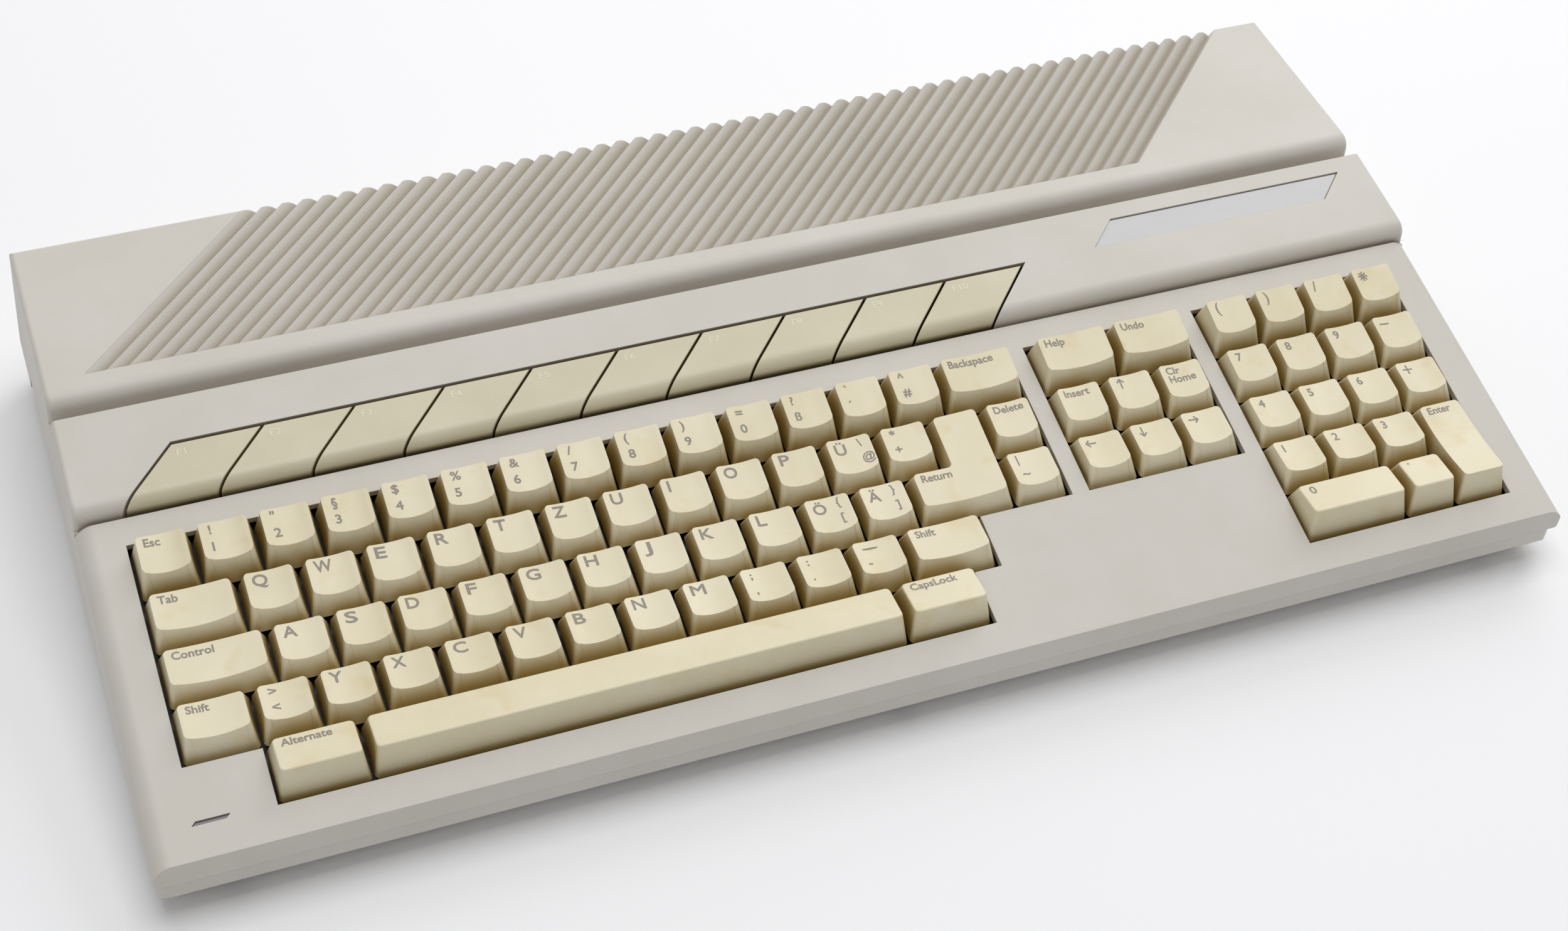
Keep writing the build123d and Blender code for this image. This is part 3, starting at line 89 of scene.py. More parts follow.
lengthwise_cuts = 8        # parts of a top over two rows, from front to back
search_steps = 4           # of the search for where a rim meets a side edge
rim_tilt = 0.8             # a top's normals rise more than this, its sides' less
back_height = {1: 5.4, 2: 3.4, 3: 3.0, 4: 4.4, 5: 7.5}
front_height = {1: 8.6, 2: 5.0, 3: 3.6, 4: 4.0, 5: 6.2}

# Function keys, in the band behind the deck.
function_count = 10
function_pitch = 29.4
function_gap = 1.0
function_left = -0.4
function_lean = 0.945      # sideways run of their slanted sides per length up the deck
function_depth = 21.6
function_rim_round = 0.4
sharp_edge = radians(40)   # edges of a function key that turn by more are rounded,
rounded_from = skirt_level + 1                  # where they reach above this
nose_groove = 1.2
nose_radius = 4.75
nose_rise = 1.05
nose_steps = 8
band_slope = radians(8.4)

# Sizes of the patterns in the surfaces.
drift_size = 45
smear_size = 11
gloss_size = 6


# ---------------------------------------------------------------- colours and nodes
def colour(code):
    """A colour written as sRGB hex, as linear RGBA."""
    parts = [int(code[i:i + 2], 16) / 255 for i in (1, 3, 5)]
    linear = [c / 12.92 if c <= 0.04045 else ((c + 0.055) / 1.055) ** 2.4 for c in parts]
    return (*linear, 1.0)


def new_material(name):
    """An empty node material, with its tree and its output."""
    material = bpy.data.materials.new(name)
    material.use_nodes = True
    tree = material.node_tree
    tree.nodes.clear()
    output = tree.nodes.new("ShaderNodeOutputMaterial")
    return material, tree, output


def add(tree, kind, settings=None, **inputs):
    """Adds a node. Settings are its properties; inputs are values or sockets to link from,
    by name, or by number as i0, i1 and so on."""
    node = tree.nodes.new(kind)
    for key, value in (settings or {}).items():
        setattr(node, key, value)
    for key, value in inputs.items():
        numbered = key[0] == "i" and key[1:].isdigit()
        socket = node.inputs[int(key[1:]) if numbered else key.replace("_", " ")]
        if isinstance(value, bpy.types.NodeSocket):
            tree.links.new(value, socket)
        else:
            socket.default_value = value
    return node


def tone_ramp(tree, source, stops):
    """A colour ramp over source with (place, hex colour) stops."""
    ramp = add(tree, "ShaderNodeValToRGB", Fac=source)
    elements = ramp.color_ramp.elements
    while len(elements) < len(stops):
        elements.new(0.5)
    for element, (place, code) in zip(elements, stops):
        element.position = place
        element.color = colour(code)
    return ramp.outputs["Color"]


def tint(tree, first, second):
    """Two colours multiplied."""
    settings = {"data_type": "RGBA", "blend_type": "MULTIPLY"}
    return add(tree, "ShaderNodeMix", settings, i0=1.0, i6=first, i7=second).outputs[2]


def moulded_plastic(name, light, dark, roughness, grain_mm, grain_depth, soft_edge, soil_and_shade,
                    soil_and_shade_reach, smear=None):
    """Injection-moulded ABS: a spark-eroded grain and a satin sheen. The tone drifts from light to
    dark over some centimetres. Where surfaces close in, ambient occlusion darkens it towards the
    soil colour, which is painted shade mixed with soil. Smears lie where the hand reaches."""
    material, tree, output = new_material(name)
    place = add(tree, "ShaderNodeTexCoord").outputs["Object"]
    drift = add(tree, "ShaderNodeTexNoise", Vector=place, Scale=1 / (drift_size * MM),
                Detail=4.0, Roughness=0.6)
    tone = tone_ramp(tree, drift.outputs["Fac"], [(0.35, dark), (0.65, light)])
    # Painted shade mixed with soil: ambient occlusion darkens the tone towards the soil colour in
    # recesses and between parts.
    corner = add(tree, "ShaderNodeAmbientOcclusion", {"samples": 8}, Distance=soil_and_shade_reach * MM)
    tone = tint(tree, tone, tone_ramp(tree, corner.outputs["AO"], [(0.3, soil_and_shade), (0.9, "#FFFFFF")]))
    if smear:
        smudge = add(tree, "ShaderNodeTexNoise", Vector=place, Scale=1 / (smear_size * MM),
                     Detail=3.0)
        stops = [(0.58, "#FFFFFF"), (0.78, smear)]
        tone = tint(tree, tone, tone_ramp(tree, smudge.outputs["Fac"], stops))
    grain = add(tree, "ShaderNodeTexNoise", Vector=place, Scale=1 / (grain_mm * MM), Detail=3.0)
    edge = add(tree, "ShaderNodeBevel", {"samples": 4}, Radius=soft_edge * MM)
    bump = add(tree, "ShaderNodeBump", Strength=1.0, Distance=grain_depth * MM,
               Height=grain.outputs["Fac"], Normal=edge.outputs["Normal"])
    shader = add(tree, "ShaderNodeBsdfPrincipled", Base_Color=tone, Roughness=roughness,
                 Normal=bump.outputs["Normal"])
    tree.links.new(shader.outputs["BSDF"], output.inputs["Surface"])
    return material


def plain_finish(name, base, roughness, metallic=0.0, grain_mm=0.5, grain_depth=0.01):
    """A part of one tone with a fine grain, whose gloss varies a little over some millimetres."""
    material, tree, output = new_material(name)
    place = add(tree, "ShaderNodeTexCoord").outputs["Object"]
    cloud = add(tree, "ShaderNodeTexNoise", Vector=place, Scale=1 / (gloss_size * MM), Detail=3.0)
    gloss = add(tree, "ShaderNodeMapRange", Value=cloud.outputs["Fac"],
                To_Min=0.8 * roughness, To_Max=1.2 * roughness)
    grain = add(tree, "ShaderNodeTexNoise", Vector=place, Scale=1 / (grain_mm * MM), Detail=2.0)
    bump = add(tree, "ShaderNodeBump", Strength=1.0, Distance=grain_depth * MM,
               Height=grain.outputs["Fac"])
    shader = add(tree, "ShaderNodeBsdfPrincipled", Base_Color=colour(base), Metallic=metallic,
                 Roughness=gloss.outputs["Result"], Normal=bump.outputs["Normal"])
    tree.links.new(shader.outputs["BSDF"], output.inputs["Surface"])
    return material


# Grey ABS of the case: the spark-eroded grain spreads its highlights wide, so it looks matt.
# Its recesses take a faint painted shade, mixed with soil.
case_plastic = moulded_plastic("moulded_case_abs", "#CDC9C1", "#C7C3BA", 0.5, 0.55, 0.035, 0.35,
                               "#E6E1D8", 6.0)
# ABS of the keys, yellowed by light: smoother than the case, so the rims of the tops gleam. It
# turns browner and darker down between the keys, painted shade mixed with the soil that fingers
# and cloths don't reach.
key_plastic = moulded_plastic("moulded_key_abs", "#E6DDC1", "#DDD3B3", 0.4, 0.5, 0.01, 0.15,
                              "#BFA86A", 7.0, "#F8F1E2")
# ABS of the function keys: a darker, greyer beige, which sets their row apart. Painted shade mixed
# with soil darkens it where surfaces close in.
function_plastic = moulded_plastic("moulded_function_key_abs", "#D0C8AF", "#C8C0A5", 0.42, 0.5,
                                   0.015, 0.2, "#B8AA84", 5.0)
# Printing inks lie dull on the plastic; the pale one hardly parts from its key.
legend_ink = plain_finish("pad_printed_ink", "#8C857B", 0.55)
function_ink = plain_finish("pale_printed_ink", "#DDD6BD", 0.5)
# Nylon and laminate: a soft sheen on one even tone.
black_plastic = plain_finish("moulded_black_nylon", "#1B1A19", 0.5)
board_laminate = plain_finish("green_board_laminate", "#1E5A32", 0.35)
# Tin and zinc mirror the room in a blur, which makes them brighter towards the light.
tinned_steel = plain_finish("tinned_sheet_steel", "#B9B8B4", 0.35, 1.0)
zinc_steel = plain_finish("zinc_plated_steel", "#C4C2BB", 0.3, 1.0)
# Rubber, the ribbon's PVC and the reset button's ABS are matt.
foot_rubber = plain_finish("moulded_foot_rubber", "#2A2827", 0.8, 0.0, 0.8, 0.03)
dome_rubber = plain_finish("silicone_dome_rubber", "#C9C4B8", 0.6)
ribbon_plastic = plain_finish("grey_ribbon_pvc", "#9A9892", 0.5)
reset_plastic = plain_finish("moulded_grey_abs", "#8E8B85", 0.5)
# Epoxy and acrylic are glossy and have no grain.
led_plastic = plain_finish("green_epoxy", "#3E8A47", 0.2, 0.0, 0.5, 0.0)
lens_plastic = plain_finish("smoked_lens_acrylic", "#5A4F58", 0.15, 0.0, 0.5, 0.0)
# Anodised aluminium, satin: a cool even silver that hardly mirrors.
plate_aluminium = plain_finish("satin_anodised_aluminium", "#BABABB", 0.42, 0.1)
# Gilded brass glints warm out of the black inserts.
contact_brass = plain_finish("gilded_contact_brass", "#C9A24E", 0.3, 1.0)

finishes = {
    "upper_case": case_plastic,
    "lower_case": case_plastic,
    "nameplate": plate_aluminium,
    "lamp_lens": lens_plastic,
    "power_led": led_plastic,
    "feet": foot_rubber,
    "dome_sheet": dome_rubber,
    "case_screws": zinc_steel,
    "jack_screws": zinc_steel,
    "keyboard_circuit": board_laminate,
    "main_board": board_laminate,
    "keyboard_ribbon": ribbon_plastic,
    "upper_shield": tinned_steel,
    "lower_shield": tinned_steel,
    "joystick_sockets": tinned_steel,
    "rear_d_connectors": tinned_steel,
    "reset_button": reset_plastic,
}
for name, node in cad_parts.items():
    material = finishes.get(name, black_plastic)
    node.data.materials.clear()
    node.data.materials.append(material)


# ---------------------------------------------------------------- making pieces
def face_outwards(bm):
    """Turns the faces of every closed shell outwards, each shell by its own volume."""
    bmesh.ops.recalc_face_normals(bm, faces=bm.faces)
    left = set(bm.faces)
    while left:
        fringe = [left.pop()]
        shell = fringe[:]
        while fringe:
            near = {other for edge in fringe.pop().edges for other in edge.link_faces} & left
            left -= near
            fringe.extend(near)
            shell.extend(near)
        start = shell[0].verts[0].co
        volume = sum((face.verts[0].co - start).dot(face.normal) * face.calc_area()
                     for face in shell)
        if volume < 0:
            bmesh.ops.reverse_faces(bm, faces=shell)


def finish_piece(bm, name, body, material, replaced=None, smooth=True, place=deck):
    """Turns a bmesh in millimetres into a piece that rides on a body. Place leads from its own
    frame into the part's."""
    face_outwards(bm)
    bm.transform(place)
    for face in bm.faces:
        face.smooth = smooth
    mesh = bpy.data.meshes.new(name)
    bm.to_mesh(mesh)
    bm.free()
    mesh.materials.append(material)
    piece = bpy.data.objects.new(name, mesh)
    bpy.context.collection.objects.link(piece)
    if smooth:
        # Keeps flat faces flat beside their rounded edges.
        piece.modifiers.new("flat_faces", "WEIGHTED_NORMAL")
    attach(piece, body)
    if replaced:
        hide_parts(replaced)


def join_into(target, source, place):
    """Adds a bmesh to another one, moved by place."""
    source.transform(place)
    carrier = bpy.data.meshes.new("carrier")
    source.to_mesh(carrier)
    source.free()
    target.from_mesh(carrier)
    bpy.data.meshes.remove(carrier)


def round_edges(bm, edges, radius, segments):
    """Rounds the edges."""
    bmesh.ops.bevel(bm, geom=edges, offset=radius, segments=segments, profile=0.5,
                    affect="EDGES", material=-1, clamp_overlap=True)


def draw_out(bm, faces, move):
    """Draws faces out by move and gives the moved vertices. The first faces stay in place."""
    drawn = bmesh.ops.extrude_face_region(bm, geom=faces)["geom"]
    moved = [item for item in drawn if isinstance(item, bmesh.types.BMVert)]
    bmesh.ops.translate(bm, verts=moved, vec=move)
    return moved


def add_stem(bm, x, y):
    """A key's square plunger."""
    tall = stem_top - stem_bottom
    place = Matrix.Translation((x, y, stem_bottom + tall / 2))
    size = Matrix.Diagonal((stem_side, stem_side, tall, 1.0))
    bmesh.ops.create_cube(bm, size=1.0, matrix=place @ size)


# ---------------------------------------------------------------- key caps
class Cap:
    """One key cap in its cell, x from the cell's middle and y from its front. Its cells are the
    corners that outlines() takes. Its top rises through three (y, z) places and is hollow by
    dish in the middle of its width."""

    def __init__(self, cells, tops, dish):
        self.skirt, self.top = outlines(cells)
        self.tops = tops
        self.dish = dish
        self.left = min(x for x, y in self.top)
        self.right = max(x for x, y in self.top)
        self.back = max(y for x, y in self.top)
        self.half_chord = (self.right - self.left) / 2 - rim_round

    def height(self, x, y):
        """Height of the top face."""
        (y0, z0), (y1, z1), (y2, z2) = self.tops
        level = (z0 * (y - y1) * (y - y2) / ((y0 - y1) * (y0 - y2))
                 + z1 * (y - y0) * (y - y2) / ((y1 - y0) * (y1 - y2))
                 + z2 * (y - y0) * (y - y1) / ((y2 - y0) * (y2 - y1)))
        across = min(1.0, abs(x - (self.left + self.right) / 2) / self.half_chord)
        return level - self.dish * (1 - across**2)

    def mesh(self, stems):
        """The cap, open below, with its plungers."""
        bm = bmesh.new()
        base = bm.faces.new([bm.verts.new((x, y, skirt_level)) for x, y in self.skirt])
        for vert in draw_out(bm, [base], (0, 0, 0)):
            near = [(Vector(corner) - vert.co.xy).length for corner in self.skirt]
            x, y = self.top[near.index(min(near))]
            vert.co = (x, y, self.height(x, y))
        upright = [edge for edge in bm.edges
                   if abs(edge.verts[0].co.z - edge.verts[1].co.z) > upright_least]
        round_edges(bm, upright, corner_round, corner_steps)
        self.cut_top(bm)
        self.hollow_top(bm)
        bmesh.ops.recalc_face_normals(bm, faces=bm.faces)
        rim = [edge for edge in bm.edges if is_rim(edge)]
        round_edges(bm, rim, rim_round, rim_steps)
        open_base(bm)
        for x, y in stems:
            add_stem(bm, x, y)
        return bm

    def cut_top(self, bm):
        """Cuts the top into strips, so that it can be hollow, and be curved from front to back."""
        planes = []
        if self.dish:
            reach = self.half_chord - corner_round / 2
            middle = (self.left + self.right) / 2
            for n in range(dish_strips + 1):
                x = middle + reach * (2 * n / dish_strips - 1)
                planes.append(((x, 0, 0), (1, 0, 0)))
        if self.back > 1.5 * key_pitch:
            for n in range(1, lengthwise_cuts):
                y = top_front_inset + (self.back - top_front_inset) * n / lengthwise_cuts
                planes.append(((0, y, 0), (0, 1, 0)))
        for point, normal in planes:
            faces = [face for face in bm.faces if face.calc_center_median().z > skirt_limit]
            edges = {edge for face in faces for edge in face.edges}
            verts = {vert for face in faces for vert in face.verts}
            bmesh.ops.bisect_plane(bm, geom=[*faces, *edges, *verts], dist=touch, plane_co=point,
                                   plane_no=normal)

    def hollow_top(self, bm):
        """Brings each vertex of the top to the height it needs, those of its rim down their own
        side edges."""
        for vert in bm.verts:
            if vert.co.z < skirt_limit:
                continue
            feet = [edge.other_vert(vert) for edge in vert.link_edges]
            feet = [foot for foot in feet if foot.co.z < skirt_limit]
            if not feet:
                vert.co.z = self.height(vert.co.x, vert.co.y)
                continue
            foot = feet[0].co.copy()
            start = vert.co.copy()
            share = 0.0
            for _ in range(search_steps):
                at = start.lerp(foot, share)
                share += (at.z - self.height(at.x, at.y)) / (start.z - foot.z)
            vert.co = start.lerp(foot, share)


def open_base(bm):
    """Hollows the underside of a cap, narrowing upwards as its sides do."""
    base = [face for face in bm.faces if all(vert.co.z < base_limit for vert in face.verts)]
    bmesh.ops.inset_region(bm, faces=base, thickness=cap_wall, use_even_offset=True)
    lifted = draw_out(bm, base, (0, 0, hollow_height))
    for axis in (0, 1):
        low = min(vert.co[axis] for vert in lifted)
        high = max(vert.co[axis] for vert in lifted)
        for vert in lifted:
            share = (vert.co[axis] - low) / (high - low)
            vert.co[axis] += hollow_taper * (1 - 2 * share)
    bmesh.ops.delete(bm, geom=base, context="FACES")


def is_rim(edge):
    """True for an edge between the top of a cap and its sides."""
    ups = sorted(face.normal.z for face in edge.link_faces)
    return len(ups) == 2 and ups[0] < rim_tilt < ups[1]


def outlines(cells):
    """The skirt's and the top's corners, from the corners of the cell outline. Each corner
    (x, y, side, end) lies left (-1) or right (1) of the plastic, and before (-1) or behind it."""
    skirt = [(x - side * skirt_gap, y - end * skirt_gap) for x, y, side, end in cells]
    top = []
    for x, y, side, end in cells:
        inset = top_back_inset if end > 0 else top_front_inset
        top.append((x - side * top_side_inset, y - end * inset))
    return skirt, top


def block_cells(width, depth):
    """Corners of a plain cell, width by depth."""
    return [(-width / 2, 0, -1, -1), (width / 2, 0, 1, -1), (width / 2, depth, 1, 1),
            (-width / 2, depth, -1, 1)]


def row_tops(row):
    """Places of an ordinary key's top from front to back."""
    front = (top_front_inset, front_height[row])
    back = (key_pitch - top_back_inset, back_height[row])
    middle = ((front[0] + back[0]) / 2, (front[1] + back[1]) / 2)
    return [front, middle, back]


# ---------------------------------------------------------------- printed letters
capital_share = 0.682      # height of the face's capitals, of its size
ink_height = 0.05          # the print stands this far off the plastic
word_height = 2.6
letter_height = 3.8
sign_height = 2.9
text_left = 2.2            # from the left edge of a top face
sign_left = 2.9
text_top = 1.0             # from its back edge
sign_drop = 8.7            # from there to the foot of the sign in front
line_gap = 0.8             # between two words, one over the other
figure_height = 3.0
figure_drop = 3.4
bracket_height = 3.8
bracket_drop = 3.6
stroke_size = 3.8          # of a sign made of strokes
stroke_share = 0.15        # width of its strokes, of its size
corner_inset = 4.4         # signs beside a letter, from the right edge of the top
corner_drop = 0.9          # such a letter is lower by this
word_stretch = 1.04
figure_stretch = 1.1
sign_stretch = 1.15
bold = 0.12                # moves of a print's outline outwards
regular = 0.09
thin = 0.06
sharpest_turn = 0.2        # corners whose two directions add up to less stay in place
most_reach = 1.6           # a corner moves by at most this, of the outline's move
legend_height = 2.4        # on the function keys
legend_drop = 4.9          # from their back edge
legend_inset = 5.6         # from their left side

# Widths of a broad grotesque's capitals, of their height.
letter_widths = {
    "A": 1.12, "B": 1.03, "C": 1.18, "D": 1.1, "E": 0.98, "F": 0.92, "G": 1.24, "H": 1.13,
    "I": 0.24, "J": 0.82, "K": 1.13, "L": 0.88, "M": 1.32, "N": 1.12, "O": 1.22, "P": 0.98,
    "Q": 1.25, "R": 1.06, "S": 1.06, "T": 1.02, "U": 1.08, "V": 1.08, "W": 1.45, "X": 1.1,
    "Y": 1.06, "Z": 1.1, "Ä": 1.12, "Ö": 1.22, "Ü": 1.08,
}


def outward(edge):
    """Direction in the print's plane that leads out of it across a border edge."""
    face = edge.link_faces[0]
    along = (edge.verts[1].co - edge.verts[0].co).normalized()
    side = Vector((along.y, -along.x, 0))
    inside = face.calc_center_median() - edge.verts[0].co
    return -side if side.dot(inside) > 0 else side


def embolden(bm, weight):
    """Moves the outline of a flat print outwards by weight."""
    moves = {}
    for vert in bm.verts:
        borders = [outward(edge) for edge in vert.link_edges if edge.is_boundary]
        if len(borders) == 2:
            total = borders[0] + borders[1]
            if total.length > sharpest_turn:
                reach = min(most_reach, 2 / total.length)
                moves[vert] = total.normalized() * weight * reach
    for vert, move in moves.items():
        vert.co += move


def lettering(bm, text, height, left, base, surface, squeeze=1.0, weight=regular):
    """Prints text on a surface(x, y): height is that of a capital, left and base its corner."""
    curve = bpy.data.curves.new("lettering", "FONT")
    curve.body = text
    curve.size = height / capital_share
    curve.resolution_u = 3
    carrier = bpy.data.objects.new("lettering", curve)
    mesh = bpy.data.meshes.new_from_object(carrier)
    ink = bmesh.new()
    ink.from_mesh(mesh)
    if text in letter_widths:
        spread = [vert.co.x for vert in ink.verts]
        squeeze = letter_widths[text] * height / (max(spread) - min(spread) + 2 * weight)
    for vert in ink.verts:
        vert.co.x *= squeeze
    embolden(ink, weight)
    start = min(vert.co.x for vert in ink.verts)
    for vert in ink.verts:
        x = left + vert.co.x - start
        y = base + vert.co.y
        vert.co = (x, y, surface(x, y) + ink_height)
    bmesh.ops.solidify(ink, geom=ink.faces[:], thickness=2 * ink_height)
    join_into(bm, ink, Matrix.Identity(4))
    bpy.data.meshes.remove(mesh)
    bpy.data.objects.remove(carrier)
    bpy.data.curves.remove(curve)


# Signs drawn as strokes: each one's middle, length and lean in degrees, of the sign's size.
stroke_signs = {
    "arrow": [(0, 0, 1.0, 0), (0.16, 0.32, 0.52, 45), (-0.16, 0.32, 0.52, -45)],
    "plus": [(0, 0, 1.0, 0), (0, 0, 1.0, 90)],
    "minus": [(0, 0, 1.0, 90)],
    "asterisk": [(0, 0, 1.0, turn) for turn in (0, 45, 90, 135)],
    "dot": [(-0.3, 0.3, 0.18, 0)],
}


def stroke_sign(bm, name, left, base, size, turn, surface):
    """Prints a sign made of strokes, turned by turn degrees about its middle."""
    stroke = size * stroke_share
    ink = bmesh.new()
    for x, y, length, lean in stroke_signs[name]:
        place = (
            Matrix.Rotation(radians(turn), 4, "Z")
            @ Matrix.Translation((x * size, y * size, 0))
            @ Matrix.Rotation(radians(lean), 4, "Z")
            @ Matrix.Diagonal((stroke, length * size, 1.0, 1.0))
        )
        bmesh.ops.create_grid(ink, x_segments=1, y_segments=4, size=0.5, matrix=place)
    for vert in ink.verts:
        x, y = left + size / 2 + vert.co.x, base + size / 2 + vert.co.y
        vert.co = (x, y, surface(x, y) + ink_height)
    bmesh.ops.solidify(ink, geom=ink.faces[:], thickness=2 * ink_height)
    join_into(bm, ink, Matrix.Identity(4))


def print_key(bm, cap, label, place):
    """Prints a label on a cap: a word, a letter, or a letter with more signs."""
    ink = bmesh.new()
    left = cap.left + text_left
    sign = cap.left + sign_left
    top_line = cap.back - text_top
    kind, *texts = label
    if kind == "word":
        for line, word in enumerate(texts):
            base = top_line - word_height - line * (word_height + line_gap)
            lettering(ink, word, word_height, left, base, cap.height, word_stretch)
    elif kind == "letter":
        base = top_line - letter_height
        lettering(ink, texts[0], letter_height, left, base, cap.height, weight=bold)
    elif kind == "figure":
        base = top_line - figure_drop
        lettering(ink, texts[0], figure_height, sign, base, cap.height, figure_stretch)
    elif kind == "bracket":
        lettering(ink, texts[0], bracket_height, sign, top_line - bracket_drop, cap.height)
    elif kind == "pair":
        for text, drop in zip(texts, (sign_height, sign_drop)):
            lettering(ink, text, sign_height, sign, top_line - drop, cap.height, sign_stretch)
    elif kind == "corner":
        base = top_line - letter_height - corner_drop
        lettering(ink, texts[0], letter_height, left, base, cap.height, weight=bold)
        right = cap.right - corner_inset
        for text, drop in zip(texts[1:], (sign_height, sign_drop)):
            lettering(ink, text, sign_height, right, top_line - drop, cap.height, weight=thin)
    elif kind == "strokes":
        base = top_line - stroke_size
        stroke_sign(ink, texts[0], left, base, stroke_size, texts[1], cap.height)
    join_into(bm, ink, place)


# ---------------------------------------------------------------- the keyboard
single_keys = {
    "esc": ("main", 5, 0.0, 1.0, ("word", "Esc")),
    "backspace": ("main", 5, 14.0, 1.5, ("word", "Backspace")),
    "tab": ("main", 4, 0.0, 1.5, ("word", "Tab")),
    "delete": ("main", 4, 14.5, 1.0, ("word", "Delete")),
    "control": ("main", 3, 0.0, 1.75, ("word", "Control")),
    "shift_left": ("main", 2, 0.0, 1.25, ("word", "Shift")),
    "shift_right": ("main", 2, 12.25, 1.5, ("word", "Shift")),
    "alternate": ("main", 1, 1.25, 1.5, ("word", "Alternate")),
    "caps_lock": ("main", 1, 11.75, 1.5, ("word", "CapsLock")),
    "help": ("cursor", 5, 0.0, 1.5, ("word", "Help")),
    "undo": ("cursor", 5, 1.5, 1.5, ("word", "Undo")),
    "insert": ("cursor", 4, 0.0, 1.0, ("word", "Insert")),
    "arrow_up": ("cursor", 4, 1.0, 1.0, ("strokes", "arrow", 0)),
    "clear_home": ("cursor", 4, 2.0, 1.0, ("word", "Clr", "Home")),
    "arrow_left": ("cursor", 3, 0.0, 1.0, ("strokes", "arrow", 90)),
    "arrow_down": ("cursor", 3, 1.0, 1.0, ("strokes", "arrow", 180)),
    "arrow_right": ("cursor", 3, 2.0, 1.0, ("strokes", "arrow", -90)),
    "pad_zero": ("pad", 1, 0.0, 2.0, ("figure", "0")),
    "space": ("main", 1, 2.75, 9.0, None),
}
digit_labels = [("pair", sign, digit) for sign, digit in zip("!\"§$%&/()=?`^", "1234567890ß´#")]
upper_labels = [("letter", letter) for letter in "QWERTZUIOP"]
upper_labels += [("corner", "Ü", "\\", "@"), ("pair", "*", "+")]
home_labels = [("letter", letter) for letter in "ASDFGHJKL"]
home_labels += [("corner", "Ö", "{", "["), ("corner", "Ä", "}", "]"), ("pair", "|", "~")]
lower_labels = [("pair", ">", "<")] + [("letter", letter) for letter in "YXCVBNM"]
lower_labels += [("pair", ";", ","), ("pair", ":", "."), ("pair", "—", "-")]
pad_labels = [("bracket", sign) for sign in "()/"] + [("strokes", "asterisk", 0)]
pad_labels += [("figure", digit) for digit in "789"] + [("strokes", "minus", 0)]
pad_labels += [("figure", digit) for digit in "456"] + [("strokes", "plus", 0)]
pad_labels += [("figure", digit) for digit in "123"] + [("strokes", "dot", 0)]
group_keys = {
    "digit_row": [("main", 5, 1.0 + n, 1.0) for n in range(13)],
    "upper_letter": [("main", 4, 1.5 + n, 1.0) for n in range(12)],
    "home_letter": [("main", 3, 1.75 + n, 1.0) for n in range(11)] + [("main", 3, 14.5, 1.0)],
    "lower_letter": [("main", 2, 1.25 + n, 1.0) for n in range(11)],
    "number_pad": [("pad", row, 1.0 * n, 1.0) for row in (5, 4, 3) for n in range(4)]
    + [("pad", 2, 1.0 * n, 1.0) for n in range(3)]
    + [("pad", 1, 2.0, 1.0)],
}
group_labels = {
    "digit_row": digit_labels,
    "upper_letter": upper_labels,
    "home_letter": home_labels,
    "lower_letter": lower_labels,
    "number_pad": pad_labels,
}
space_stems = [(side * space_stem_spread, key_pitch / 2) for side in (-1, 0, 1)]


def cell_place(block, row, start, width):
    """Middle of a cell's front edge, in the deck's frame."""
    x = block_start[block] + (start + width / 2) * key_pitch
    return Matrix.Translation((x, crease_to_keys + (row - 1) * key_pitch, 0))


def dress_keys(body, node, members):
    """Caps and their prints for the keys that move with a body: (cap, stems, label, place)."""
    caps = bmesh.new()
    prints = bmesh.new()
    for cap, stems, label, place in members:
        join_into(caps, cap.mesh(stems), place)
        if label:
            print_key(prints, cap, label, place)
    finish_piece(caps, f"{body}_caps", body, key_plastic, node)
    if prints.faces:
        finish_piece(prints, f"{body}_print", body, legend_ink, None, False)
    else:
        prints.free()


def ordinary_key(block, row, start, width, label):
    """An ordinary cap in its cell. The tops of the first row are flat."""
    dish = 0 if row == 1 else dish_depth
    cap = Cap(block_cells(width * key_pitch, key_pitch), row_tops(row), dish)
    stems = space_stems if width > 2 else [(0, key_pitch / 2)]
    return cap, stems, label, cell_place(block, row, start, width)


for body, member in single_keys.items():
    dress_keys(body, f"{body}_key", [ordinary_key(*member)])
for body, places in group_keys.items():
    members = [ordinary_key(*place, label) for place, label in zip(places, group_labels[body])]
    dress_keys(body, f"{body}_keys", members)

# The tall Enter of the number pad stands over two rows.
enter_tops = [(top_front_inset, front_height[1]), (key_pitch, front_height[2]),
              (2 * key_pitch - top_back_inset, back_height[2])]
enter_cap = Cap(block_cells(key_pitch, 2 * key_pitch), enter_tops, 0)
dress_keys("pad_enter", "pad_enter_key", [
    (enter_cap, [(0, key_pitch)], ("word", "Enter"), cell_place("pad", 1, 3.0, 1.0))])

# Return has an upright part over two rows and a foot to the left in the front row.
return_cells = [
    (-1.25 * key_pitch, 0, -1, -1),
    (0.5 * key_pitch, 0, 1, -1),
    (0.5 * key_pitch, 2 * key_pitch, 1, 1),
    (-0.5 * key_pitch, 2 * key_pitch, -1, 1),
    (-0.5 * key_pitch, key_pitch, -1, 1),
    (-1.25 * key_pitch, key_pitch, -1, 1),
]
return_back = 2 * key_pitch - top_back_inset
return_tops = [(top_front_inset, front_height[3]),
               ((top_front_inset + return_back) / 2, (front_height[3] + back_height[4]) / 2),
               (return_back, back_height[4])]
return_cap = Cap(return_cells, return_tops, return_dish)
return_place = cell_place("main", 3, 13.5, 1.0)
dress_keys("return", "return_key", [(return_cap, [(0, key_pitch)], None, return_place)])
return_print = bmesh.new()
lettering(return_print, "Return", word_height, return_cap.left + text_left,
          key_pitch - top_back_inset - text_top - word_height, return_cap.height, word_stretch)
return_print.transform(return_place)
finish_piece(return_print, "return_print", "return", legend_ink, None, False)

